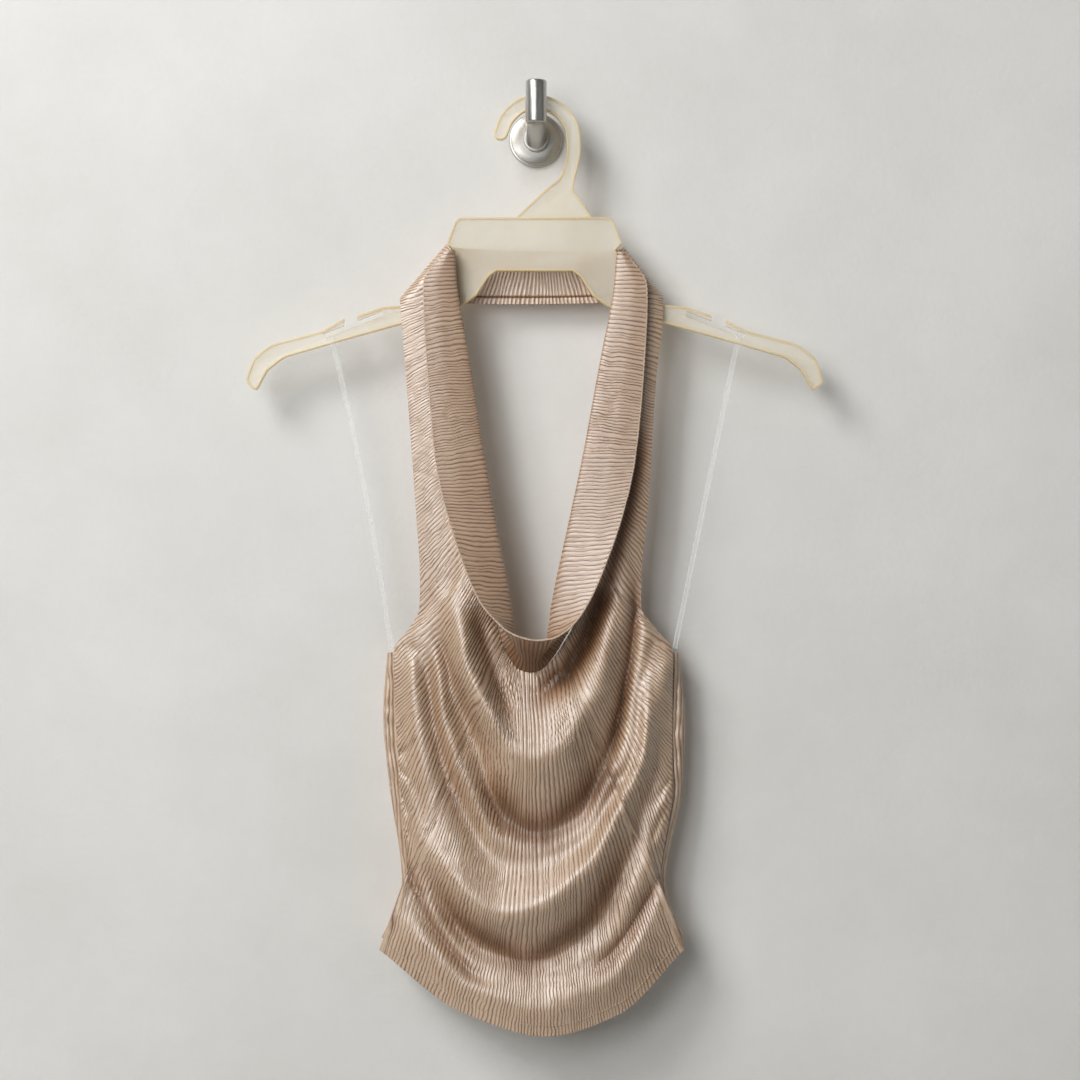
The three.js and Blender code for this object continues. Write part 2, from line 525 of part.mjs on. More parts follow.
// The corners moved inwards by "distance"; the outline runs clockwise, seen from the front.
function inset(corners, distance) {
  return corners.map(([x, z, radius = 0], i) => {
    const here = new THREE.Vector2(x, z);
    const next = corners[(i + 1) % corners.length];
    const before = here.clone().sub(toFlat(corners.at(i - 1))).normalize();
    const after = toFlat(next).sub(here).normalize();
    const bisector = before.clone().add(after).normalize();
    const inwards = new THREE.Vector2(bisector.y, -bisector.x);
    const spread = Math.max(bisector.dot(after), 0.5);
    here.addScaledVector(inwards, distance / spread);
    return [here.x, here.y, Math.max(radius - distance * 0.7, 0)];
  });
}

// A moulding with raised rims on both faces of a thin web.
function rimmed(corners, rim = RIM_WIDTH) {
  const pocket = rounded(inset(corners, rim));
  const depth = (RIM_DEPTH - WEB_DEPTH) / 2;
  const nearFace = HANGER_MIDDLE + WEB_DEPTH / 2 + depth;
  const farFace = HANGER_MIDDLE - WEB_DEPTH / 2 - depth;
  return plate(rounded(corners), RIM_DEPTH)
    .subtract(plate(pocket, depth * 2, nearFace))
    .subtract(plate(pocket, depth * 2, farFace));
}

// The outline of a stroke "width" wide along a plane curve, with square ends.
function stroke(curve, width, count) {
  const side = (sign) => steps(0, 1, count).map((share) => {
    const point = curve.getPoint(share);
    const along = curve.getTangent(share);
    return [point.x + sign * along.y * width / 2, point.y - sign * along.x * width / 2];
  });
  return [...side(-1), ...side(1).reverse()];
}

// ---- hanger -------------------------------------------------------------------------------
function hanger() {
  const mirrored = HALF_HANGER.map(([x, z, radius]) => [-x, z, radius]).reverse();
  const outline = [...mirrored, ...HALF_HANGER]
    .map(([x, z, radius]) => [x + HANGER_AXIS, z, radius]);
  const hook = new THREE.CatmullRomCurve3(HOOK_LINE.map(([x, z]) => new THREE.Vector3(x, z, 0)));
  const slots = [-1, 1].map((side) => {
    const ends = SLOT_LINE.map(([x, z]) => new THREE.Vector3(HANGER_AXIS + side * x, z, 0));
    const run = plate(stroke(new THREE.LineCurve3(...ends), SLOT_HEIGHT, 1), RIM_DEPTH * 2);
    const mouth = SLOT_MOUTH.map(([x, z]) => [HANGER_AXIS + side * x, z]);
    return run.add(plate(mouth, RIM_DEPTH * 2));
  });
  return toGeometry(rimmed(outline)
    .add(rimmed(STEM, HOOK_RIM))
    .add(rimmed(stroke(hook, HOOK_WIDTH, 16), HOOK_RIM))
    .subtract(slots[0])
    .subtract(slots[1]));
}

// ---- wall hook ----------------------------------------------------------------------------
// Turns a lathe or cylinder that stands along +Y to point straight out from the wall.
const outFromWall = (geometry) => geometry.rotateX(Math.PI);

function wallRose() {
  const profile = [[0, 0], [ROSE_RADIUS, 0], [ROSE_RADIUS, ROSE_DEPTH - ROSE_BEVEL],
    [ROSE_RADIUS - ROSE_BEVEL, ROSE_DEPTH], [0, ROSE_DEPTH]];
  const lathe = new THREE.LatheGeometry(profile.map(([r, h]) => new THREE.Vector2(r, h)), 40);
  return toGeometry(toSolid(outFromWall(lathe)));
}

// The neck slants up from the rose to the peg, and the peg stands upright.
function hookPeg() {
  const foot = ROSE_DEPTH + SEAM;
  const start = new THREE.Vector3(0, -foot, 0);
  const end = new THREE.Vector3(0, -PEG_OUT, (PEG_OUT - ROSE_DEPTH) * NECK_RISE);
  const length = start.distanceTo(end);
  const neck = new THREE.CylinderGeometry(NECK_RADIUS, PEG_RADIUS, length, 24);
  neck.translate(0, length / 2, 0);
  neck.applyQuaternion(new THREE.Quaternion().setFromUnitVectors(
    new THREE.Vector3(0, 1, 0), end.clone().sub(start).normalize()));
  neck.translate(start.x, start.y, start.z);
  const ring = outFromWall(new THREE.CylinderGeometry(RING_RADIUS, RING_RADIUS, RING_DEPTH, 28));
  ring.translate(0, -foot - RING_DEPTH / 2, 0);
  const height = PEG_TOP - PEG_BOTTOM;
  const profile = [[0, 0], [PEG_RADIUS - PEG_BEVEL, 0], [PEG_RADIUS, PEG_BEVEL],
    [PEG_RADIUS, height - PEG_BEVEL], [PEG_RADIUS - PEG_BEVEL, height], [0, height]];
  const peg = new THREE.LatheGeometry(profile.map(([r, h]) => new THREE.Vector2(r, h)), 28);
  peg.rotateX(Math.PI / 2);
  peg.translate(0, -PEG_OUT, PEG_BOTTOM);
  const wallSide = new THREE.BoxGeometry(PEG_OUT, PEG_OUT, PEG_OUT);
  wallSide.translate(0, PEG_OUT / 2 - foot, 0);
  return toGeometry(toSolid(neck).add(toSolid(ring)).add(toSolid(peg))
    .subtract(toSolid(wallSide)));
}

// ---- hang loops ---------------------------------------------------------------------------
// A closed loop of tape: one strand before the hanger's arm and one behind it, which meet at the
// underarm. Its path is [share of the length, distance in front of the hanger's middle plane].
function hangLoop({ top, foot, slack }) {
  const from = new THREE.Vector3(top[0], -HANGER_MIDDLE, top[1]);
  const along = new THREE.Vector3(foot[0] - top[0], 0, foot[1] - top[1]);
  const length = along.length();
  along.normalize();
  const across = new THREE.Vector3(-along.z, 0, along.x);
  const forwards = new THREE.Vector3(0, -1, 0);
  const strand = (sign, count) => steps(0, 1, count).map((share) =>
    [share, sign * (LOOP_TOP_HALF + (LOOP_FOOT_HALF - LOOP_TOP_HALF) * share)]);
  const ring = (grow) => [
    ...strand(1, LOOP_STATIONS),
    ...strand(-1, LOOP_STATIONS).reverse(),
  ].map(([share, out]) => [
    share * (length + 2 * grow) - grow,
    out + Math.sign(out) * grow,
    slack * 4 * share * (1 - share),
  ]);
  const corners = [[0, -1], [TAPE_DEPTH, -1], [TAPE_DEPTH, 1], [0, 1]].map(([grow, side]) =>
    ring(grow).map(([run, out, sway]) => from.clone()
      .addScaledVector(along, run)
      .addScaledVector(forwards, out)
      .addScaledVector(across, sway + (side * TAPE_WIDTH) / 2)));
  const count = corners[0].length;
  const positions = corners.flatMap((line) => line.flatMap((point) => point.toArray()));
  const faces = [];
  for (let k = 0; k < corners.length; k += 1) {
    for (let i = 0; i < count; i += 1) {
      const [a, b] = [i, (i + 1) % count].map((n) => k * count + n);
      const [c, d] = [(i + 1) % count, i].map((n) => ((k + 1) % corners.length) * count + n);
      faces.push(a, b, c, a, c, d);
    }
  }
  const geometry = new THREE.BufferGeometry();
  geometry.setAttribute('position', new THREE.Float32BufferAttribute(positions, 3));
  geometry.setIndex(faces);
  return geometry;
}

// ---- the object ---------------------------------------------------------------------------
const satin = new THREE.MeshStandardMaterial({ color: '#a58b76', roughness: 0.42, metalness: 0 });
const frosted = new THREE.MeshStandardMaterial({
  color: '#ded6c4', roughness: 0.45, metalness: 0, transparent: true, opacity: 0.75 });
const steel = new THREE.MeshStandardMaterial({ color: '#a9a8a5', roughness: 0.35, metalness: 1 });
const elastic = new THREE.MeshStandardMaterial({
  color: '#e9e9e4', roughness: 0.25, metalness: 0, transparent: true, opacity: 0.5 });

const garment = new THREE.Group();
const hardware = new THREE.Group();
const object = new THREE.Group();
object.add(garment, hardware);

function addPiece(parent, name, geometry, material) {
  const mesh = new THREE.Mesh(geometry, material);
  mesh.name = name;
  parent.add(mesh);
}

addPiece(garment, 'front_panel', frontPanel(), satin);
addPiece(garment, 'cowl_collar', collar(), satin);
addPiece(garment, 'back_panel', backPanel(), satin);
addPiece(garment, 'back_neck_band', backNeckBand(), satin);
addPiece(garment, 'hang_loop_left', hangLoop(LEFT_LOOP), elastic);
addPiece(garment, 'hang_loop_right', hangLoop(RIGHT_LOOP), elastic);
addPiece(hardware, 'hanger', hanger(), frosted);
addPiece(hardware, 'wall_rose', wallRose(), steel);
addPiece(hardware, 'hook_peg', hookPeg(), steel);

export default object;
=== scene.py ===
"""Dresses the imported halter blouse: crinkled satin, frosted hanger, clear hang loops, steel hook.

Every length in the tables is in millimetres and every mesh is made in metres, in the frame of the
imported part: +X to the viewer's right, +Y into the wall, +Z up.
"""
import json
import logging
import math
from dataclasses import dataclass, field
from enum import Enum
from typing import Callable, Sequence

import bpy
import numpy as np
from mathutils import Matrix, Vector

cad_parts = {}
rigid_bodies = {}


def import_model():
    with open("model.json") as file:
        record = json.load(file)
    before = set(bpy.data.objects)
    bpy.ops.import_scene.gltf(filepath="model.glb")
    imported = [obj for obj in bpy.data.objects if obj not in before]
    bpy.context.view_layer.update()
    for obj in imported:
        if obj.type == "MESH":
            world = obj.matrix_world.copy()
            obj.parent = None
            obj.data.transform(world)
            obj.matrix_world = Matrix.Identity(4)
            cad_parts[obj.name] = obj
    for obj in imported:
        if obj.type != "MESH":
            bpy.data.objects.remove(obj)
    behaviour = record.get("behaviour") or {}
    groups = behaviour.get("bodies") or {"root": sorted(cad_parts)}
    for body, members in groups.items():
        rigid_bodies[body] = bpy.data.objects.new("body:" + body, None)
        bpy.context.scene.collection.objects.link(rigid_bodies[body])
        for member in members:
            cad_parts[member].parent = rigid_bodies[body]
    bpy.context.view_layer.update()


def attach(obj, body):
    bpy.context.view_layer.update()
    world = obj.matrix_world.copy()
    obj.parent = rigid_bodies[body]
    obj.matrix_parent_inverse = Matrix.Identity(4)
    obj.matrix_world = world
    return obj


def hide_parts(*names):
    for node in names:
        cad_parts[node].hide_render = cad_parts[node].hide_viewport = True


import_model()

log = logging.getLogger("blouse")
logging.basicConfig(level=logging.INFO, format="%(name)s: %(message)s")

MM = 0.001
Array = np.ndarray


# ---- curves and noise ------------------------------------------------------------------------
class Monotone:
    """A monotone cubic through the rows of a table, which overshoots nowhere."""

    def __init__(self, xs: Sequence[float], ys: Sequence[float]) -> None:
        """Stores the rows and works out the slope at each.

        Args:
            xs: rising places of the rows.
            ys: the value at each place.
        """
        self.xs, self.ys = np.asarray(xs, float), np.asarray(ys, float)
        slope = np.diff(self.ys) / np.diff(self.xs)
        self.slopes = np.concatenate([slope[:1], np.zeros(len(slope) - 1), slope[-1:]])
        for i in range(1, len(slope)):
            before, after = slope[i - 1], slope[i]
            if before * after > 0:
                self.slopes[i] = 2 * before * after / (before + after)

    def __call__(self, x: Array) -> Array:
        """The value at each place in x."""
        x = np.clip(x, self.xs[0], self.xs[-1])
        i = np.clip(np.searchsorted(self.xs, x, side="right") - 1, 0, len(self.xs) - 2)
        span = self.xs[i + 1] - self.xs[i]
        t = (x - self.xs[i]) / span
        rest = 1 - t
        return (self.ys[i] * (1 + 2 * t) * rest**2 + self.ys[i + 1] * t**2 * (3 - 2 * t)
                + span * t * rest * (rest * self.slopes[i] - t * self.slopes[i + 1]))


class Cornered:
    """Monotone cubics that are joined, and may turn sharply, at the corner rows."""

    def __init__(self, xs: Sequence[float], ys: Sequence[float], corners: Sequence[float]) -> None:
        """Splits the table at its corners.

        Args:
            xs: rising places of the rows.
            ys: the value at each place.
            corners: the places at which the line may turn.
        """
        cuts = [0, *(list(xs).index(corner) for corner in corners), len(xs) - 1]
        self.corners = np.asarray(corners, float)
        self.parts = [Monotone(xs[a:b + 1], ys[a:b + 1]) for a, b in zip(cuts, cuts[1:])]

    def __call__(self, x: Array) -> Array:
        """The value at each place in x."""
        x = np.asarray(x, float)
        part = np.searchsorted(self.corners, x, side="left")
        values = np.zeros_like(x)
        for i, read in enumerate(self.parts):
            values = np.where(part == i, read(x), values)
        return values


def through(points: Array, count: int) -> Array:
    """Points on a centripetal Catmull-Rom curve, evenly spaced in its parameter.

    Args:
        points: control points, shape (..., rows, 3).
        count: how many spans of the result each span of the control points gets.

    Returns:
        The curve's points, shape (..., spans * count + 1, 3).
    """
    first = 2 * points[..., :1, :] - points[..., 1:2, :]
    last = 2 * points[..., -1:, :] - points[..., -2:-1, :]
    line = np.concatenate([first, points, last], axis=-2)
    steps = np.maximum(np.linalg.norm(np.diff(line, axis=-2), axis=-1, keepdims=True), 1e-9) ** 0.5
    spans = []
    for i in range(points.shape[-2] - 1):
        p0, p1, p2, p3 = (line[..., i + k, :] for k in range(4))
        d0, d1, d2 = (steps[..., i + k, :] for k in range(3))
        start = ((p1 - p0) / d0 - (p2 - p0) / (d0 + d1) + (p2 - p1) / d1) * d1
        end = ((p2 - p1) / d1 - (p3 - p1) / (d1 + d2) + (p3 - p2) / d2) * d1
        for t in np.arange(count) / count:
            spans.append((2 * t**3 - 3 * t**2 + 1) * p1 + (t**3 - 2 * t**2 + t) * start
                         + (3 * t**2 - 2 * t**3) * p2 + (t**3 - t**2) * end)
    spans.append(points[..., -1, :])
    return np.stack(spans, axis=-2)


def evenly(line: Array, count: int) -> Array:
    """The line's points moved so that they are equally far apart.

    Args:
        line: the line's points, shape (rows, 3).
        count: how many points the result has.

    Returns:
        Points on the line, shape (count, 3).
    """
    run = np.concatenate([[0], np.cumsum(np.linalg.norm(np.diff(line, axis=0), axis=1))])
    places = np.linspace(0, run[-1], count)
    return np.stack([np.interp(places, run, line[:, axis]) for axis in range(3)], axis=1)


def wander(u: Array, v: Array, seed: int) -> Array:
    """Smooth noise between -1 and 1 on a grid of unit cells.

    Args:
        u: place across, in cells.
        v: place along, in cells.
        seed: chooses the pattern.

    Returns:
        The noise at each place.
    """
    table = np.random.default_rng(seed).uniform(-1, 1, (256, 256))
    iu, iv = np.floor(u).astype(int), np.floor(v).astype(int)
    fu, fv = u - iu, v - iv
    fu, fv = fu * fu * (3 - 2 * fu), fv * fv * (3 - 2 * fv)
    pick = lambda a, b: table[(iu + a) % 256, (iv + b) % 256]
    near = pick(0, 0) * (1 - fu) + pick(1, 0) * fu
    far = pick(0, 1) * (1 - fu) + pick(1, 1) * fu
    return near * (1 - fv) + far * fv


def smooth(x: Array) -> Array:
    """Eases x from 0 to 1."""
    x = np.clip(x, 0, 1)
    return x * x * (3 - 2 * x)


def eased(values: Array, times: int) -> Array:
    """A grid's values averaged with their neighbours a number of times."""
    for _ in range(times):
        for axis in (0, 1):
            padded = np.concatenate([values.take([0], axis), values, values.take([-1], axis)], axis)
            count = padded.shape[axis]
            low, high = (padded.take(range(a, count - 2 + a), axis) for a in (0, 2))
            values = values / 2 + (low + high) / 4
    return values


def unit(vectors: Array) -> Array:
    """The vectors at length 1."""
    return vectors / np.maximum(np.linalg.norm(vectors, axis=-1, keepdims=True), 1e-12)


# ---- meshes ----------------------------------------------------------------------------------
@dataclass
class Sheet:
    """A thin closed shell of cloth between a fine outer face and a coarser inner face."""

    name: str
    outer: Array
    inner: Array
    column_step: int
    row_step: int
    flat: Array
    level: Array
    painted_shade_and_seam: Array

    def faces(self) -> list[tuple[int, ...]]:
        """The shell's quads and the strips that close its four edges."""
        columns, rows = self.outer.shape[:2]
        near = np.arange(columns * rows).reshape(columns, rows)
        across, down = self.inner.shape[:2]
        far = columns * rows + np.arange(across * down).reshape(across, down)
        quads = lambda g: np.stack([g[:-1, :-1], g[1:, :-1], g[1:, 1:], g[:-1, 1:]], -1).reshape(-1, 4)
        result = [tuple(q) for q in quads(near).tolist()]
        result += [tuple(q[::-1]) for q in quads(far).tolist()]
        for fine, coarse, step, turned in (
                (near[:, 0], far[:, 0], self.column_step, True),
                (near[:, -1], far[:, -1], self.column_step, False),
                (near[0, :], far[0, :], self.row_step, False),
                (near[-1, :], far[-1, :], self.row_step, True)):
            for i in range(len(coarse) - 1):
                ring = [*fine[i * step:(i + 1) * step + 1].tolist(), int(coarse[i + 1]), int(coarse[i])]
                result.append(tuple(ring[::-1] if turned else ring))
        return result

    def build(self) -> bpy.types.Object:
        """Makes the shell's object.

        Returns:
            The new object, with a UV map in metres of flat cloth and its two point attributes.
        """
        points = np.concatenate([self.outer.reshape(-1, 3), self.inner.reshape(-1, 3)])
        piece = Bench.mesh(self.name, points, self.faces())
        mesh = piece.data
        thin = lambda grid: grid[::self.column_step, ::self.row_step]
        flat = np.concatenate([self.flat.reshape(-1, 2), thin(self.flat).reshape(-1, 2)]) * MM
        loops = np.zeros(len(mesh.loops), dtype=np.int32)
        mesh.loops.foreach_get("vertex_index", loops)
        mesh.uv_layers.new(name="cloth").data.foreach_set("uv", flat[loops].astype(np.float32).ravel())
        # Beside the rib level, each point carries the share of its tone that is kept: shade painted into
        # hollows, and dark stitch lines.
        for name, grid in (("level", self.level), ("painted_shade_and_seam", self.painted_shade_and_seam)):
            values = np.concatenate([grid.reshape(-1), thin(grid).reshape(-1)])
            mesh.attributes.new(name, "FLOAT", "POINT").data.foreach_set(
                "value", values.astype(np.float32))
        mesh.validate()
        bpy.ops.object.shade_smooth_by_angle(angle=math.radians(80))
        return piece


class Bench:
    """Selection and edit-mode steps that several pieces share."""

    @staticmethod
    def clear() -> None:
        """Leaves edit mode and deselects everything."""
        if bpy.context.object and bpy.context.object.mode != "OBJECT":
            bpy.ops.object.mode_set(mode="OBJECT")
        for other in bpy.context.view_layer.objects:
            other.select_set(False)

    @staticmethod
    def select(piece: bpy.types.Object) -> None:
        """Makes one piece the only selected object, and the active one."""
        Bench.clear()
        piece.select_set(True)
        bpy.context.view_layer.objects.active = piece

    @staticmethod
    def mesh(name: str, points: Array, faces: list) -> bpy.types.Object:
        """A new selected object of points in millimetres and faces."""
        mesh = bpy.data.meshes.new(name)
        mesh.from_pydata((np.asarray(points) * MM).tolist(), [], faces)
        piece = bpy.data.objects.new(name, mesh)
        bpy.context.collection.objects.link(piece)
        Bench.select(piece)
        return piece

    @staticmethod
    def face_outwards(piece: bpy.types.Object) -> None:
        """Turns all faces of a closed piece outwards."""
        Bench.select(piece)
        bpy.ops.object.mode_set(mode="EDIT")
        bpy.ops.mesh.select_all(action="SELECT")
        bpy.ops.mesh.normals_make_consistent(inside=False)
        bpy.ops.object.mode_set(mode="OBJECT")

    @staticmethod
    def modify(piece: bpy.types.Object, kind: str, **settings: object) -> None:
        """Adds a modifier and applies it.

        Args:
            piece: the object that is changed.
            kind: the modifier's type.
            settings: the modifier's own settings.
        """
        Bench.select(piece)
        bpy.ops.object.modifier_add(type=kind)
        modifier = piece.modifiers[-1]
        for name, value in settings.items():
            setattr(modifier, name, value)
        bpy.ops.object.modifier_apply(modifier=modifier.name)

    @staticmethod
    def settle(piece: bpy.types.Object, angle: float = 40) -> None:
        """Moves a piece's place into its mesh and shades it smooth up to an angle in degrees."""
        Bench.select(piece)
        bpy.ops.object.transform_apply(location=True, rotation=True, scale=True)
        bpy.ops.object.shade_smooth_by_angle(angle=math.radians(angle))

    @staticmethod
    def plate(name: str, outline: Sequence[tuple[float, float]], depth: float, middle: float
              ) -> bpy.types.Object:
        """A flat plate in the plane of the wall, made from a circle whose rim follows an outline.

        Args:
            name: the new object's name.
            outline: the rim as (x, z) in millimetres, clockwise seen from the front.
            depth: the plate's thickness in millimetres.
            middle: distance of its middle plane from the wall in millimetres.

        Returns:
            The new plate, with its place in its mesh.
        """
        Bench.clear()
        bpy.ops.mesh.primitive_circle_add(vertices=len(outline), fill_type="NGON", radius=0.1)
        piece = bpy.context.object
        piece.name = name
        front = -(middle + depth / 2) * MM
        for vertex, (x, z) in zip(piece.data.vertices, outline):
            vertex.co = (x * MM, front, z * MM)
        bpy.ops.object.mode_set(mode="EDIT")
        bpy.ops.mesh.select_all(action="SELECT")
        bpy.ops.mesh.extrude_region_move(TRANSFORM_OT_translate={"value": (0, depth * MM, 0)})
        Bench.face_outwards(piece)
        return piece

    @staticmethod
    def boolean(piece: bpy.types.Object, tool: bpy.types.Object, how: str) -> None:
        """Joins the tool to the piece, or cuts it out, and deletes the tool."""
        Bench.modify(piece, "BOOLEAN", object=tool, operation=how, solver="MANIFOLD")
        bpy.data.objects.remove(tool, do_unlink=True)


def swept(name: str, path: Array, across: Array, forwards: Array, section: Array,
          closed: bool = False) -> bpy.types.Object:
    """A mesh swept along a path.

    Args:
        name: the new object's name.
        path: the path's points in millimetres, shape (stations, 3).
        across: the section's first direction at each point.
        forwards: the section's second direction at each point.
        section: the section at each point, shape (stations, corners, 2), in millimetres.
        closed: whether the path joins up with its start.

    Returns:
        The new closed mesh.
    """
    stations, corners = section.shape[:2]
    points = (path[:, None] + section[..., :1] * across[:, None] + section[..., 1:] * forwards[:, None])
    index = np.arange(stations * corners).reshape(stations, corners)
    if closed:
        index = np.concatenate([index, index[:1]])
    wrapped = np.concatenate([index, index[:, :1]], axis=1)
    faces = np.stack([wrapped[:-1, :-1], wrapped[1:, :-1], wrapped[1:, 1:], wrapped[:-1, 1:]],
                     -1).reshape(-1, 4).tolist()
    if not closed:
        faces += [index[0].tolist(), index[-1][::-1].tolist()]
    piece = Bench.mesh(name, points.reshape(-1, 3), faces)
    Bench.face_outwards(piece)
    bpy.ops.object.shade_smooth_by_angle(angle=math.radians(50))
    return piece


# ---- the ribs of the satin -------------------------------------------------------------------
@dataclass(frozen=True)
class Crinkle:
    """The satin's heat-set ribs: near one pitch, because each forks where the cloth spreads.

    A waver is how far the ribs stray, in pitches, and how wide and long its cells are in
    millimetres. Each rib forks at its own place in the octave, by steps of the golden ratio.
    """

    seed: int
    depth: float = 0.55
    pitch: float = 2.6
    roundness: float = 0.55
    golden: float = 0.618034
    fork_start: float = 0.3
    fork_spread: float = 0.4
    fork_length: float = 0.12
    wavers: tuple[tuple[float, float, float], ...] = ((0.25, 7, 13), (0.7, 24, 38))
    evened: int = 40
    fewest_columns: float = 1.8
    enough_columns: float = 4.0

    def fields(self, middle: Array, number: Array, along: Array) -> tuple[Array, Array, Array]:
        """How the ribs are counted and spread over a grid of cloth.

        Args:
            middle: the cloth's middle surface, shape (columns, rows, 3).
            number: the number of the rib at each point.
            along: distance along the rows at each point, in millimetres.

        Returns:
            The rib count at each point with its wander, the number of octaves by which the ribs
            are spread beyond their pitch, and the columns that each rib has.
        """
        tangent, step = np.gradient(middle, axis=1), np.gradient(middle, axis=0)
        way = unit(tangent)
        slide = (step * way).sum(-1)
        width = np.maximum(np.linalg.norm(step - slide[..., None] * way, axis=-1), 1e-6)
        ahead = np.gradient(number, axis=1) / np.maximum(np.linalg.norm(tangent, axis=-1), 1e-6)
        beside = (np.gradient(number, axis=0) - ahead * slide) / width
        spread = 1 / np.maximum(eased(np.hypot(ahead, beside), self.evened), 0.01)
        level = np.log2(spread / self.pitch)
        stray = sum(share * wander(middle[..., 0] / wide, middle[..., 2] / long, self.seed + 1 + i)
                    for i, (share, wide, long) in enumerate(self.wavers))
        phase = number + stray * 2.0**-level
        return phase, level, spread / 2.0 ** np.round(level) / width

    def height(self, phase: Array, level: Array, columns: Array) -> Array:
        """Relief of the ribs from 0 to 1, lower where the grid is too coarse to draw them."""
        octave = np.floor(level)
        place = phase * 2.0**octave
        chance = np.floor(place) * self.golden % 1
        forked = np.clip((level - octave - self.fork_start - self.fork_spread * chance)
                         / self.fork_length, 0, 1)
        either = (1 - forked) * np.abs(np.sin(np.pi * place)) + forked * np.abs(np.sin(2 * np.pi * place))
        shown = (columns - self.fewest_columns) / (self.enough_columns - self.fewest_columns)
        return 0.5 + (either**self.roundness - 0.5) * np.clip(shown, 0.1, 1)


# ---- finishes --------------------------------------------------------------------------------
def colour(code: str) -> tuple[float, float, float, float]:
    """Turns an sRGB hex colour into a linear one with full alpha."""
    parts = [int(code[i:i + 2], 16) / 255 for i in (1, 3, 5)]
    linear = [c / 12.92 if c <= 0.04045 else ((c + 0.055) / 1.055) ** 2.4 for c in parts]
    return (*linear, 1.0)


def add_node(tree: bpy.types.NodeTree, kind: str, values: dict | None = None,
             **settings: object) -> bpy.types.Node:
    """Adds a node, gives it its settings, and sets or links its inputs.

    Args:
        tree: the node tree.
        kind: the node's type name.
        values: input name or number to a value, or to the socket that feeds it.
        settings: the node's own properties.

    Returns:
        The new node.
    """
    node = tree.nodes.new(kind)
    for name, value in settings.items():
        setattr(node, name, value)
    for name, value in (values or {}).items():
        if isinstance(value, bpy.types.NodeSocket):
            tree.links.new(value, node.inputs[name])
        else:
            node.inputs[name].default_value = value
    return node


def ramp(tree: bpy.types.NodeTree, fac: bpy.types.NodeSocket,
         stops: Sequence[tuple[float, str]]) -> bpy.types.NodeSocket:
    """A colour ramp over "fac" with sRGB hex stops, and its colour output."""
    node = add_node(tree, "ShaderNodeValToRGB", {"Fac": fac})
    elements = node.color_ramp.elements
    while len(elements) < len(stops):
        elements.new(0.5)
    for element, (place, code) in zip(elements, stops):
        element.position = place
        element.color = colour(code)
    return node.outputs["Color"]


def maths(tree: bpy.types.NodeTree, operation: str, *inputs: object) -> bpy.types.NodeSocket:
    """The result of a Math node over numbers and sockets."""
    return add_node(tree, "ShaderNodeMath", dict(enumerate(inputs)), operation=operation).outputs[0]


def noise(tree: bpy.types.NodeTree, place: bpy.types.NodeSocket,
          cell: float | tuple[float, float, float], detail: float,
          roughness: float = 0.5) -> bpy.types.NodeSocket:
    """Soft noise over a place.

    Args:
        tree: the node tree.
        place: the coordinates that the noise is read at, in metres.
        cell: the size of the largest patches in metres, or their size on each axis.
        detail: how many finer octaves are added.
        roughness: how strong those are.

    Returns:
        The noise, from 0 to 1.
    """
    sizes = cell if isinstance(cell, tuple) else (cell,) * 3
    sized = add_node(tree, "ShaderNodeMapping", {"Vector": place, "Scale": tuple(1 / c for c in sizes)})
    return add_node(tree, "ShaderNodeTexNoise", {
        "Vector": sized.outputs["Vector"], "Scale": 1.0, "Detail": detail,
        "Roughness": roughness}).outputs["Fac"]


def finish(tree: bpy.types.NodeTree, shader: bpy.types.Node, hue: bpy.types.NodeSocket,
           relief: tuple[bpy.types.NodeSocket, float, float] | None, **sockets: object) -> None:
    """Links a material's colour and relief, and sets plain values on the shader's own sockets.

    Args:
        tree: the node tree.
        shader: the principled shader.
        hue: the base colour.
        relief: a height from 0 to 1, its size in metres and its strength, or None.
        sockets: each socket's name with _ for a space, and its value.
    """
    tree.links.new(hue, shader.inputs["Base Color"])
    if relief:
        bump = add_node(tree, "ShaderNodeBump", dict(zip(("Height", "Distance", "Strength"), relief)))
        tree.links.new(bump.outputs["Normal"], shader.inputs["Normal"])
    for name, value in sockets.items():
        shader.inputs[name.replace("_", " ")].default_value = value


def on_piece(tree: bpy.types.NodeTree) -> bpy.types.NodeSocket:
    """A piece's own coordinates in metres."""
    return add_node(tree, "ShaderNodeTexCoord").outputs["Object"]


def new_material(name: str) -> tuple[bpy.types.Material, bpy.types.NodeTree, bpy.types.Node]:
    """An empty node material with a principled surface.

    Returns:
        The material, its node tree and its principled shader.
    """
    material = bpy.data.materials.new(name)
    material.use_nodes = True
    tree = material.node_tree
    return material, tree, tree.nodes["Principled BSDF"]


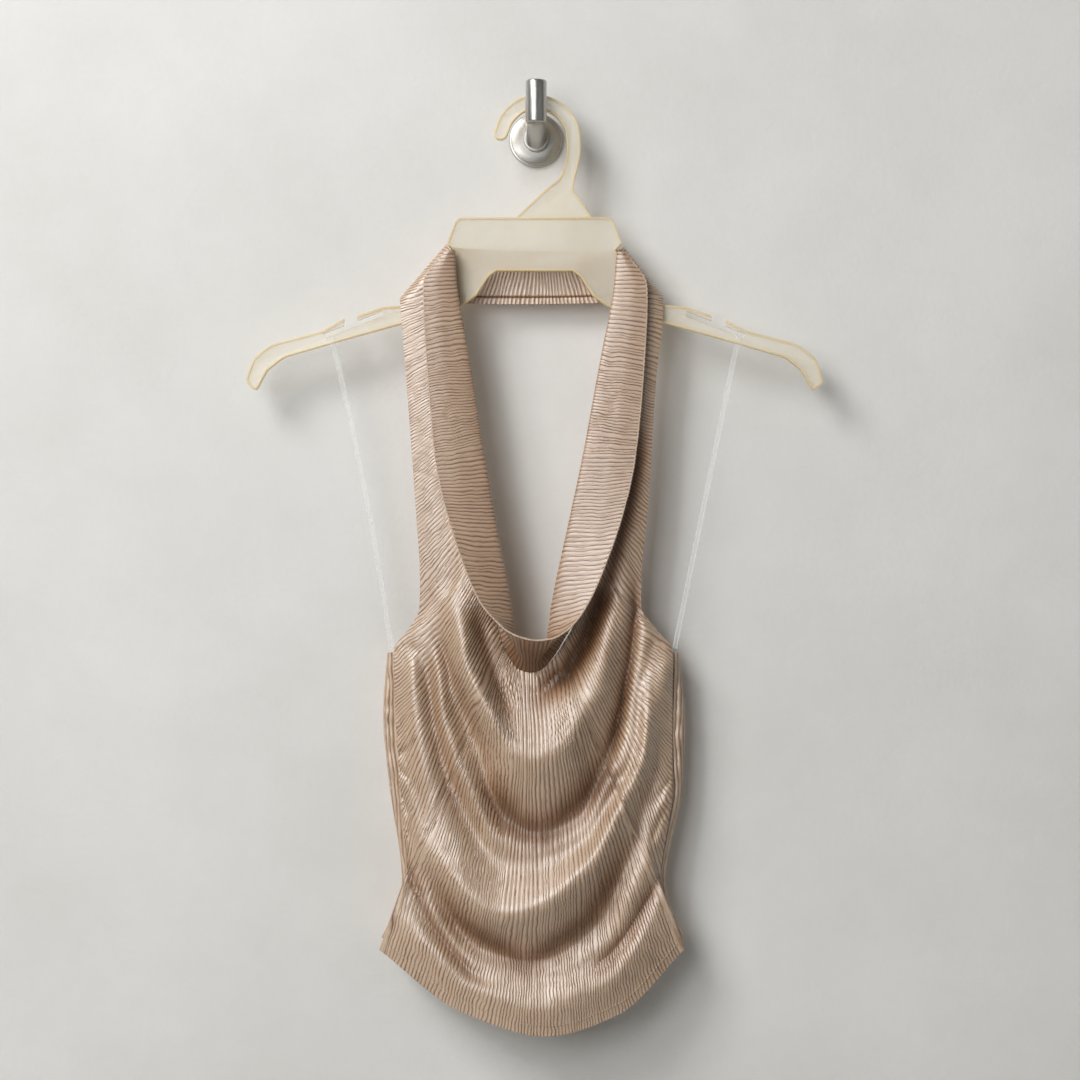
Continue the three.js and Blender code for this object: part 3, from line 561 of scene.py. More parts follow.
@dataclass(frozen=True)
class CrinkleSatin:
    """Polyester satin with heat-set crinkle pleats, with shade painted dark into the thin grooves between
    the bright ribs.
    """

    ridge: str = "#c0a486"
    middle: str = "#a17d5e"
    flank: str = "#75502f"
    groove: str = "#351c0b"
    relief: float = 0.55
    roughness: float = 0.5
    lustre: float = 1.9
    shallowest: float = 0.45

    @staticmethod
    def ribs(tree: bpy.types.NodeTree, phase: bpy.types.NodeSocket,
             level: bpy.types.NodeSocket) -> tuple[bpy.types.NodeSocket, bpy.types.NodeSocket]:
        """Works out the same ribs as Crinkle does, at every point of the surface.

        Args:
            tree: the node tree.
            phase: the rib count at each point.
            level: how many octaves the ribs are spread beyond their pitch.

        Returns:
            The ribs' height from 0 to 1, and a number from 0 to 1 that differs from rib to rib.
        """
        octave = maths(tree, "FLOOR", level)
        place = maths(tree, "MULTIPLY", phase, maths(tree, "POWER", 2.0, octave))
        chance = maths(tree, "FRACT", maths(tree, "MULTIPLY", maths(tree, "FLOOR", place), Crinkle.golden))
        start = maths(tree, "MULTIPLY_ADD", chance, -Crinkle.fork_spread, -Crinkle.fork_start)
        over = maths(tree, "ADD", maths(tree, "SUBTRACT", level, octave), start)
        forked = add_node(tree, "ShaderNodeClamp", {
            "Value": maths(tree, "DIVIDE", over, Crinkle.fork_length)}).outputs[0]
        angle = maths(tree, "MULTIPLY", place, math.pi)
        single = maths(tree, "ABSOLUTE", maths(tree, "SINE", angle))
        double = maths(tree, "ABSOLUTE", maths(tree, "SINE", maths(tree, "MULTIPLY", angle, 2.0)))
        either = add_node(tree, "ShaderNodeMix", {0: forked, 2: single, 3: double}).outputs[0]
        return maths(tree, "POWER", either, Crinkle.roundness), chance

    def material(self) -> bpy.types.Material:
        """Satin whose ribs, and the finer crinkles on them, follow the flat map of the cloth."""
        material, tree, shader = new_material("crinkle satin")
        cloth = add_node(tree, "ShaderNodeUVMap", uv_map="cloth").outputs["UV"]
        across = add_node(tree, "ShaderNodeSeparateXYZ", {"Vector": cloth}).outputs["X"]
        # The second attribute is the share of the tone kept at each point: shade painted into hollows, and
        # dark stitch lines.
        level, painted_shade_and_seam = (add_node(tree, "ShaderNodeAttribute", attribute_name=name).outputs["Fac"]
                        for name in ("level", "painted_shade_and_seam"))
        # Each groove wavers by up to a quarter of a rib, in stretches about 8 mm long.
        waver = maths(tree, "MULTIPLY_ADD", noise(tree, cloth, (5 * MM, 8 * MM, 1), 1), 0.5, -0.25)
        phase = maths(tree, "MULTIPLY_ADD", across, 1 / (Crinkle.pitch * MM), waver)
        rib, chance = self.ribs(tree, phase, level)
        # Some grooves are shallow, and every groove fades in places about 15 mm long.
        fade = noise(tree, cloth, (4 * MM, 15 * MM, 1), 2)
        strength = add_node(tree, "ShaderNodeMapRange", {
            "Value": maths(tree, "MULTIPLY_ADD", chance, 0.35, fade), "From Min": 0.3,
            "From Max": 0.85, "To Min": self.shallowest, "To Max": 1.0}).outputs[0]
        height = add_node(tree, "ShaderNodeMix", {0: strength, 2: 1.0, 3: rib}).outputs[0]
        # The finest crinkles: about a third of a rib wide and four ribs long.
        crinkle = noise(tree, cloth, (Crinkle.pitch * MM / 3, 4 * Crinkle.pitch * MM, 1), 3, 0.6)
        # Cloudy changes of tone a few centimetres across, laid at random, are added to the finest crinkles.
        uneven = maths(tree, "ADD", crinkle, noise(tree, cloth, (0.03, 0.05, 1), 2))
        # The tone follows the height of the ribs and crinkles: shade is painted dark into the grooves and
        # between crinkles, against lighter tops, and the painted shade of hollows darkens it further.
        tone = maths(tree, "ADD", height, maths(tree, "MULTIPLY_ADD", uneven, 0.3, -0.3))
        hue = ramp(tree, maths(tree, "MULTIPLY", tone, painted_shade_and_seam),
                   [(0.0, self.groove), (0.4, self.flank), (0.68, self.middle), (1.0, self.ridge)])
        swell = maths(tree, "MULTIPLY_ADD", crinkle, 0.5, height)
        finish(tree, shader, hue, (swell, self.relief * MM, 0.9), Roughness=self.roughness,
               IOR=self.lustre, Sheen_Weight=0.25, Sheen_Roughness=0.4, Sheen_Tint=colour("#f3ece4"))
        # No light reaches the bottom of a hollow, so the lustre goes there with the tone.
        tree.links.new(painted_shade_and_seam, shader.inputs["Specular IOR Level"])
        return material


@dataclass(frozen=True)
class PlainSatin:
    """The same satin turned over a cord at an edge, or spun into sewing thread."""

    name: str = "satin edge"
    tone: str = "#cdb8a4"
    roughness: float = 0.42

    def material(self) -> bpy.types.Material:
        """Satin with a fine uneven grain, half a millimetre to a millimetre across."""
        material, tree, shader = new_material(self.name)
        grain = noise(tree, on_piece(tree), 1 * MM, 2)
        hue = ramp(tree, grain, [(0.3, "#a48b75"), (0.7, self.tone)])
        finish(tree, shader, hue, (grain, 0.2 * MM, 0.4), Roughness=self.roughness, Sheen_Weight=0.2)
        return material


class PlasticPart(Enum):
    """The two thicknesses of the moulded hanger."""

    WEB = "frosted polypropylene web"
    RIM = "frosted polypropylene rim"


@dataclass(frozen=True)
class FrostedPlastic:
    """Injection-moulded natural polypropylene with a spark-eroded frosted skin."""

    web: str = "#ece7da"
    web_cloud: str = "#e2d9c2"
    rim: str = "#ecd9ae"
    rim_cloud: str = "#dfc797"
    web_alpha: float = 0.42
    rim_alpha: float = 0.62

    def material(self, part: PlasticPart) -> bpy.types.Material:
        """Milky plastic that is yellower and less clear where it is thick."""
        material, tree, shader = new_material(part.value)
        thick = part is PlasticPart.RIM
        # Frosting grain of about 0.3 to 0.6 mm, and faint flow clouds from the mould.
        grain = noise(tree, on_piece(tree), 0.6 * MM, 2)
        flow = noise(tree, on_piece(tree), 50 * MM, 3, 0.6)
        dull, clear = (self.rim_cloud, self.rim) if thick else (self.web_cloud, self.web)
        hue = ramp(tree, flow, [(0.3, dull), (0.65, clear)])
        finish(tree, shader, hue, (grain, 0.05 * MM, 0.5), Roughness=0.42, IOR=1.49,
               Subsurface_Weight=0.35, Subsurface_Radius=(1.0, 0.9, 0.7), Subsurface_Scale=4 * MM,
               Alpha=self.rim_alpha if thick else self.web_alpha)
        return material


@dataclass(frozen=True)
class BrushedSteel:
    """Stainless steel, machine-brushed in one direction and left unpolished."""

    name: str
    brushed_along: tuple[float, float, float]
    tone: str = "#c9c7c3"
    roughness: float = 0.3
    line: float = 0.25
    stretch: float = 0.03

    def material(self) -> bpy.types.Material:
        """Steel with long hair lines about 0.2 mm apart, drawn coarse enough to show."""
        material, tree, shader = new_material(self.name)
        cell = tuple(self.line / (self.stretch if along else 1) * MM for along in self.brushed_along)
        brush = noise(tree, on_piece(tree), cell, 3)
        hue = ramp(tree, brush, [(0.3, "#a9a7a3"), (0.7, self.tone)])
        rough = add_node(tree, "ShaderNodeMapRange", {
            "Value": brush, "To Min": self.roughness - 0.06, "To Max": self.roughness + 0.12})
        tree.links.new(rough.outputs["Result"], shader.inputs["Roughness"])
        finish(tree, shader, hue, (brush, 0.03 * MM, 0.4), Metallic=1.0)
        return material


@dataclass(frozen=True)
class ClearElastic:
    """Extruded clear polyurethane elastic, glossy, with rounded edges that are drawn less clear than the
    web, as a painted highlight along them.
    """

    name: str
    alpha: float

    def material(self) -> bpy.types.Material:
        """A nearly clear, slightly milky tape with tiny stretch marks across it."""
        material, tree, shader = new_material(self.name)
        marks = noise(tree, on_piece(tree), 4 * MM, 2)
        hue = ramp(tree, marks, [(0.3, "#e6e7e4"), (0.7, "#ffffff")])
        finish(tree, shader, hue, None, Roughness=0.18, IOR=1.5, Alpha=self.alpha)
        return material


SATIN = CrinkleSatin().material()
EDGE_SATIN = PlainSatin().material()
THREAD = PlainSatin(name="polyester sewing thread", tone="#d8c6b4", roughness=0.5).material()


def dress(piece: bpy.types.Object, material: bpy.types.Material | None, slot: str,
          *nodes: str) -> None:
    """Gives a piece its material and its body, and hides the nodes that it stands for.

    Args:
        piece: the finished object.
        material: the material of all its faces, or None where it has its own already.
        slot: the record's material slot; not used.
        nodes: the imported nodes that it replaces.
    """
    if material:
        piece.data.materials.clear()
        piece.data.materials.append(material)
    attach(piece, "root")
    if nodes:
        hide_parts(*nodes)
    log.info("%s: %d faces", piece.name, len(piece.data.polygons))


# ---- the cut of the blouse -------------------------------------------------------------------
@dataclass(frozen=True)
class Rib:
    """One measured rib: its number, its four places as (x, z, distance from the wall), its bend."""

    rib: int
    neck: tuple[float, float, float]
    roll: tuple[float, float, float]
    free: tuple[float, float, float]
    edge: tuple[float, float, float]
    bow: float
    folds: float
    crown: float


RIBS = (
    Rib(0, (-63.3, -88.1, 37), (-61.7, -88.4, 40.5), (-68, -89.6, 42), (-67.7, -83, 37), 0, 0, 0),
    Rib(8, (-64.8, -113, 37), (-60.1, -112, 42), (-84, -114.4, 44.5), (-102.5, -123.5, 36.5), 0, 0, 1),
    Rib(11, (-63.6, -122, 37), (-58.9, -121, 42), (-84, -125, 45), (-101.6, -135.5, 36), 0, 0, 2),
    Rib(26, (-54.2, -175.5, 37), (-49.6, -174.3, 42), (-81, -180.5, 46), (-96.5, -199.5, 36), 0, 0, 3),
    Rib(42, (-44.4, -244.7, 37), (-39.1, -242.6, 42), (-74.9, -247.3, 48), (-90.4, -283.9, 36), 0, 0, 3),
    Rib(50, (-40, -270.9, 37), (-34.7, -268.5, 42.2), (-70.7, -269.7, 49.6), (-87.2, -336, 34.8),
        2, 0.06, 4.7),
    Rib(54, (-38, -282.9, 37), (-32.6, -280.3, 42.3), (-68.2, -279.7, 50.5), (-87.8, -358, 33.6),
        5, 0.12, 6.2),
    Rib(57, (-36.6, -292.2, 37), (-31, -289.4, 42.4), (-66, -287.4, 51.2), (-95.5, -373.5, 32.2),
        8, 0.2, 7.3),
    Rib(60, (-35.4, -302, 37), (-29.3, -299, 42.5), (-63.6, -296, 52), (-107.3, -390.5, 31), 9, 0.3, 8),
    Rib(76, (-30.9, -360.8, 36), (-18.8, -356.1, 43), (-42.5, -351.2, 57), (-102.8, -495.4, 31),
        -2, 0.6, 10),
    Rib(82, (-25.6, -384.9, 35.5), (-16.5, -375.6, 43), (-30.5, -366.1, 59), (-97.4, -563.1, 33),
        -11, 0.8, 9),
    Rib(88, (-20.4, -396.2, 35), (-14.3, -389.1, 43), (-21.5, -374.2, 61), (-117.6, -615.4, 36),
        -5, 0.9, 9),
    Rib(100, (-12.8, -404.5, 35), (-9.8, -396.6, 43), (-11.1, -379, 62), (-55.3, -659.6, 50), 9, 1, 8),
    Rib(112, (-3.8, -406.8, 35), (-3, -398.9, 43), (0, -381.2, 62), (6.7, -676.4, 56), 1, 1, 8),
    Rib(124, (5.3, -403.8, 35), (3.8, -395.9, 43), (11.2, -380.1, 62), (60.6, -661.8, 50), 3, 1, 8),
    Rib(136, (14.3, -394, 35), (6.8, -387.6, 43), (23.1, -373.8, 61), (112.3, -613.9, 36), 2, 0.9, 9),
    Rib(142, (21.1, -383.4, 35.5), (9, -375.6, 43), (31.3, -365.3, 59), (93.6, -563.1, 33), 7, 0.8, 9),
    Rib(148, (29.4, -366.8, 36), (12, -354.6, 43), (42.5, -346.8, 57), (102.7, -495.4, 31), -3, 0.6, 10),
    Rib(164, (36.9, -307.3, 37), (24, -297.5, 42.5), (62.8, -293.8, 52), (102.7, -390.5, 31), -9, 0.25, 8),
    Rib(167, (37.9, -297.1, 37), (26, -288.3, 42.4), (65.2, -285.3, 51.2), (90.5, -374, 32.2),
        -8, 0.2, 7.3),
    Rib(170, (38.7, -287.4, 37), (27.8, -279.8, 42.3), (67.4, -277.6, 50.5), (79.8, -358, 33.6),
        -5, 0.12, 6.2),
    Rib(174, (39.7, -274.7, 37), (30.2, -268.7, 42.2), (69.9, -267.5, 49.6), (79.3, -336, 34.8),
        -2, 0.06, 4.7),
    Rib(182, (42.2, -247, 37), (35.3, -244.2, 42), (74.2, -245.1, 48), (84.8, -276.4, 36), 0, 0, 3),
    Rib(198, (53.5, -173.9, 37), (48.1, -174.3, 42), (80.6, -180.5, 46), (90, -190.5, 36), 0, 0, 3),
    Rib(213, (62.4, -123, 37), (57.8, -124, 42), (83.3, -125, 45), (95.4, -135, 36), 0, 0, 2),
    Rib(216, (63.3, -114.4, 37), (59, -114.9, 42), (82.9, -115.1, 44.5), (95.6, -122.7, 36.5), 0, 0, 1),
    Rib(224, (63.3, -89.6, 37), (60.9, -89.9, 40.5), (67.4, -91, 42), (66.1, -85, 37), 0, 0, 0),
)
CORNERS = (8, 88, 136, 216)
LAST_RIB = RIBS[-1].rib


@dataclass(frozen=True)
class Fold:
    """One fold line: its rise, its places along the body's ribs, and its rise on the flanks."""

    line: str
    rise: float
    at: tuple[float, ...]
    flank: float = 0


BODY_RIBS = (60, 76, 82, 88, 100, 112, 124, 136, 142, 148, 164)
FLANKS = (0.3, 1, 1, 0.9, 0.25, 0, 0.15, 0.5, 0.5, 0.4, 0.2)
FOLDS = (
    Fold("top crest", 21, (0.44, 0.29, 0.19, 0.16, 0.23, 0.23, 0.22, 0.20, 0.24, 0.30, 0.46)),
    Fold("top valley", -14, (0.62, 0.45, 0.32, 0.28, 0.43, 0.44, 0.43, 0.38, 0.43, 0.52, 0.6)),
    Fold("side crest", -5, (0.69, 0.53, 0.41, 0.36, 0.49, 0.48, 0.47, 0.42, 0.50, 0.60, 0.68), 11),
    Fold("side valley", -5, (0.76, 0.63, 0.50, 0.43, 0.56, 0.53, 0.50, 0.46, 0.57, 0.68, 0.73), -3),
    Fold("middle crest", 15, (0.85, 0.91, 0.82, 0.65, 0.69, 0.63, 0.56, 0.51, 0.61, 0.76, 0.82)),
    Fold("middle valley", -14, (0.90, 0.94, 0.89, 0.72, 0.81, 0.79, 0.73, 0.64, 0.74, 0.85, 0.89)),
    Fold("low side crest", -7, (0.93, 0.96, 0.92, 0.78, 0.85, 0.83, 0.79, 0.73, 0.83, 0.92, 0.94), 13),
    Fold("low side valley", -6, (0.96, 0.98, 0.95, 0.82, 0.88, 0.86, 0.83, 0.78, 0.89, 0.95, 0.96), 5),
    Fold("low crest", 9, (0.98, 0.99, 0.97, 0.87, 0.92, 0.93, 0.90, 0.85, 0.95, 0.98, 0.98)),
)


@dataclass(frozen=True)
class Crease:
    """A soft trough or ridge along a line of (x, z) points, and how much shade is painted into its hollow.
    """

    line: tuple[tuple[float, float], ...]
    height: float
    width: float
    shade: float = 0


CREASES = (
    # The upper left: the top crest, the hollow beside the collar, and the crease under the crest.
    Crease(((-68, -335), (-65, -351.5), (-57.8, -381.5), (-49.5, -404), (-40.5, -426.5),
            (-30, -449), (-18, -464)), 5, 8.5),
    Crease(((-50, -345), (-44, -368), (-36, -396.5), (-25, -425), (-14, -446)), -4.5, 6, 0.45),
    Crease(((-79, -362), (-74, -381.5), (-62, -407.8), (-49.5, -437.8), (-38, -464),
            (-29, -490)), -3.5, 5.5, 0.2),
    # The flat of the left flank between two creases.
    Crease(((-95, -384), (-93, -419), (-88.5, -449), (-81, -479), (-70, -505)), 3.5, 8.5),
    Crease(((-82, -376), (-80, -419), (-75, -449), (-66, -486.5), (-55.5, -512.8), (-43.5, -535),
            (-28, -548)), -4.5, 7, 0.25),
    # The deep hollow to the right of the collar's point, and its shadow up beside the collar.
    Crease(((-10, -421), (4, -421), (24, -407), (38, -382), (49, -352), (58, -322)), -13, 9, 0.85),
    Crease(((24, -405), (42, -370), (58, -325), (70, -285), (77, -245), (81, -200)), 0, 6, 0.7),
    # The upper right: the second valley's steep end, and the crest beyond it.
    Crease(((73, -325), (75, -358), (70.5, -400), (64.5, -430), (57, -460), (46, -490)), -7.5, 5, 0.6),
    Crease(((97, -378), (98, -400), (93, -419), (87, -441.5), (79.5, -467.8), (68, -498)), 7, 9),
    Crease(((104, -470), (99, -500), (88, -535), (70, -570), (45, -605)), 3.5, 8),
    # The bottoms of the two lower valleys, which see little light.
    Crease(((-48, -470), (-16, -520), (7, -527), (48, -486), (62, -455)), 0, 12, 0.6),
    Crease(((-88, -545), (-60, -590), (-8, -625), (40, -590), (80, -515)), 0, 10, 0.55),
    # The left side: a minor crease, then the long one under the middle fold.
    Crease(((-100.4, -456.4), (-92.9, -486.4), (-83.2, -516.4), (-68.2, -538.9)), -2.2, 3.5),
    Crease(((-103.4, -523.9), (-98.2, -547.9), (-89.2, -570.4), (-78, -595.1), (-64.5, -613.8),
            (-49.5, -630.3), (-27, -642.3)), -3.5, 4, 0.4),
    # The deep crease at the lower right, and the ridge at its tip.
    Crease(((37.5, -635.6), (53.2, -621.3), (69.7, -602.6), (86.2, -574.1), (94.5, -555.4)), -5.5, 4, 0.5),
    Crease(((6.7, -644.6), (25.5, -642.3), (39.7, -635.6)), 2.5, 3),
    # Gathers that run in from the left side's tuck.
    Crease(((-110.2, -472.9), (-98.9, -465.4), (-87, -456.4)), -2, 2.5),
    Crease(((-110.9, -475.9), (-100.4, -481.9), (-88.5, -495.4)), -2, 2.5),
    Crease(((-112.4, -463.9), (-103.4, -452.7), (-95.9, -435.4)), -1.6, 2.5),
    Crease(((-107.9, -490.2), (-100.4, -501.4), (-94.4, -517.9)), -1.8, 2.5),
    # Softer gathers on the right side and above the hem's corners.
    Crease(((104.9, -482.7), (96, -493.9), (85.5, -512.6)), -1.6, 2.5),
    Crease(((101.9, -501.4), (93, -517.9), (84, -538.9)), -1.8, 3),
    Crease(((-102.7, -547.9), (-94.4, -561.4), (-83.2, -580.1)), -1.8, 2.5),
    Crease(((-101.2, -562.9), (-92.9, -578.6), (-79.5, -598.8)), -1.8, 2.5),
    Crease(((94.5, -552.4), (87, -567.4), (75, -587.6)), -1.6, 3),
    Crease(((-94.4, -381.5), (-88.5, -396.5), (-84, -418.9)), -1.6, 4),
    Crease(((89.2, -378.5), (84, -396.5), (80.2, -418.9)), -1.6, 4),
)


@dataclass
class Cut:
    """The shape in which the front hangs, read from the rib and fold tables.

    "lean" is the share of each rib's sideways run that upright() takes out, at the ribs in
    "lean_ribs", below the height "upright_top".
    """

    hanger_middle: float = 28.5
    fold_radius: float = 8
    fade: float = 42
    turn: float = 5
    lean_ribs: tuple[float, ...] = (40, 76, 82, 88, 100, 112, 124, 136, 142, 148, 184)
    lean: tuple[float, ...] = (0, 0, 0.01, 0.06, 0.3, 0.42, 0.3, 0.06, 0.01, 0, 0)
    upright_top: float = -380
    upright_fade: float = 18

    def __post_init__(self) -> None:
        """Makes a smooth reader of each column of the tables."""
        numbers = [row.rib for row in RIBS]
        read = lambda key, axis: Monotone(numbers, [getattr(row, key)[axis] for row in RIBS])
        self.places: dict[str, list[Callable[[Array], Array]]] = {
            key: [read(key, axis) for axis in range(3)] for key in ("neck", "roll", "free")}
        self.places["edge"] = [Cornered(numbers, [row.edge[axis] for row in RIBS], CORNERS)
                               for axis in range(3)]
        self.bow = Monotone(numbers, [row.bow for row in RIBS])
        self.folds = Monotone(numbers, [row.folds for row in RIBS])
        self.crown = Monotone(numbers, [row.crown for row in RIBS])
        self.flank = Monotone(BODY_RIBS, FLANKS)
        self.crossings = [Monotone(BODY_RIBS, fold.at) for fold in FOLDS]
        edge = self.place("edge", np.linspace(8, 216, 105))
        self.edge_line = edge[:, [0, 2]]

    def place(self, key: str, rib: Array) -> Array:
        """A named place of each rib, as (x, y, z)."""
        x, z, out = (read(np.asarray(rib, float)) for read in self.places[key])
        return np.stack([x, -out, z], axis=-1)

    def knots(self, rib: Array) -> Array:
        """Where the fold lines cross each rib, with its two ends, shape (..., folds + 2)."""
        at = [read(rib) for read in self.crossings]
        return np.stack([np.zeros_like(rib), *at, np.ones_like(rib)], axis=-1)

    def drape(self, rib: Array, t: Array) -> Array:
        """Height of the drape over the panel's even surface at "t" along each rib."""
        knots = self.knots(rib)
        rises = np.stack([np.zeros_like(rib), *(fold.rise + fold.flank * self.flank(rib)
                                                for fold in FOLDS), np.zeros_like(rib)], axis=-1)
        height = np.zeros_like(t)
        for i in range(len(FOLDS) + 1):
            low, high = knots[..., i], knots[..., i + 1]
            share = np.clip((t - low) / (high - low), 0, 1)
            inside = (t >= low) & ((t < high) | (i == len(FOLDS)))
            height = np.where(inside, rises[..., i] + (rises[..., i + 1] - rises[..., i]) * share, height)
        return height * self.folds(rib)

    def over_shoulder(self, x: Array, z: Array, out: Array, radius: float) -> Array:
        """Turns a surface over the hanger's shoulders, on a quarter of an ellipse."""
        below = np.full_like(out, 1e9)
        for inner, outer in ((0, 8), (224, 216)):
            (x0, _, z0), (x1, _, z1) = self.place("edge", np.array([inner, outer], float))
            length = math.hypot(x1 - x0, z1 - z0)
            side = math.copysign(1, x1)
            inwards = (side * (z1 - z0) / length, -side * (x1 - x0) / length)
            below = np.minimum(below, (x - x0) * inwards[0] + (z - z0) * inwards[1])
        part = np.clip(below / radius, 0, 1)
        return self.hanger_middle + (out - self.hanger_middle) * np.sqrt(1 - (1 - part) ** 2)

    def from_edge(self, x: Array, z: Array) -> Array:
        """Distance to the panel's cut edge, in the plane of the wall."""
        nearest = np.full_like(x, 1e9)
        for ex, ez in self.edge_line:
            nearest = np.minimum(nearest, np.hypot(x - ex, z - ez))
        return nearest

    def creased(self, x: Array, z: Array) -> tuple[Array, Array]:
        """Height of the soft creases at each point of the plane, and the shade in their hollows."""
        total, shade = np.zeros_like(x), np.zeros_like(x)
        for crease in CREASES:
            line = np.array(crease.line)
            runs = np.linalg.norm(np.diff(line, axis=0), axis=1)
            whole, done = runs.sum(), 0.0
            best, place = np.full_like(x, 1e9), np.zeros_like(x)
            for (ax, az), (bx, bz), run in zip(line, line[1:], runs):
                t = np.clip(((x - ax) * (bx - ax) + (z - az) * (bz - az)) / run**2, 0, 1)
                gap = np.hypot(x - ax - (bx - ax) * t, z - az - (bz - az) * t)
                place = np.where(gap < best, (done + run * t) / whole, place)
                best = np.minimum(best, gap)
                done += run
            share = smooth(place * 4) * smooth((1 - place) * 4) * np.exp(-(best / crease.width) ** 2)
            total += crease.height * share
            shade = np.maximum(shade, crease.shade * share)
        return total, shade

    def upright(self, x: Array, z: Array) -> Array:
        """How far the rib count is moved so that the ribs hang nearly upright in the middle."""
        ribs = np.linspace(self.lean_ribs[0], self.lean_ribs[-1], 577)
        neck, edge = self.place("neck", ribs), self.place("edge", ribs)
        lean = Monotone(self.lean_ribs, self.lean)(ribs)
        start = neck[:, 0] + (edge[:, 0] - neck[:, 0]) * lean
        places, levels = np.linspace(-125, 125, 501), np.linspace(-690, self.upright_top, 156)
        moved = []
        for level in levels:
            t = (level - neck[:, 2]) / (edge[:, 2] - neck[:, 2])
            counts = [np.interp(places, np.maximum.accumulate(side + (edge[:, 0] - side) * t), ribs)
                      for side in (start, neck[:, 0])]
            moved.append(counts[0] - counts[1])
        row = np.clip((z - levels[0]) / (levels[1] - levels[0]), 0, len(levels) - 1.001)
        column = np.clip((x - places[0]) / (places[1] - places[0]), 0, len(places) - 1.001)
        i, j = row.astype(int), column.astype(int)
        u, v, table = row - i, column - j, np.array(moved)
        return ((table[i, j] * (1 - v) + table[i, j + 1] * v) * (1 - u)
                + (table[i + 1, j] * (1 - v) + table[i + 1, j + 1] * v) * u) * smooth(
                    (self.upright_top - z) / self.upright_fade)

    def front(self, rib: Array, t: Array, creases: bool = False) -> Array:
        """Points of the front's middle surface, "t" along each rib from the neck to the edge.

        Args:
            rib: rib numbers.
            t: shares of the way from neck to edge, of the same shape.
            creases: whether the soft creases are added to the large folds.

        Returns:
            The points as (x, y, z).
        """
        rib, t = np.asarray(rib, float), np.asarray(t, float)
        neck, edge = self.place("neck", rib), self.place("edge", rib)
        dx, dz = edge[..., 0] - neck[..., 0], edge[..., 2] - neck[..., 2]
        length = np.hypot(dx, dz)
        arch = 4 * t * (1 - t)
        swing = self.bow(rib) * arch
        x = neck[..., 0] + dx * t - dz / length * swing
        z = neck[..., 2] + dz * t + dx / length * swing
        reach = np.minimum(np.minimum(t, 1 - t), self.turn / length)
        samples = [self.drape(rib, t + reach * share) for share in np.linspace(-1, 1, 7)]
        relief = sum(samples) / len(samples) * np.minimum(1, self.from_edge(x, z) / self.fade)
        if creases:
            relief = relief + self.creased(x, z)[0]
        even = -neck[..., 1] + (neck[..., 1] - edge[..., 1]) * t + self.crown(rib) * arch
        out = self.over_shoulder(x, z, even + relief, self.fold_radius)
        return np.stack([x, -out, z], axis=-1)


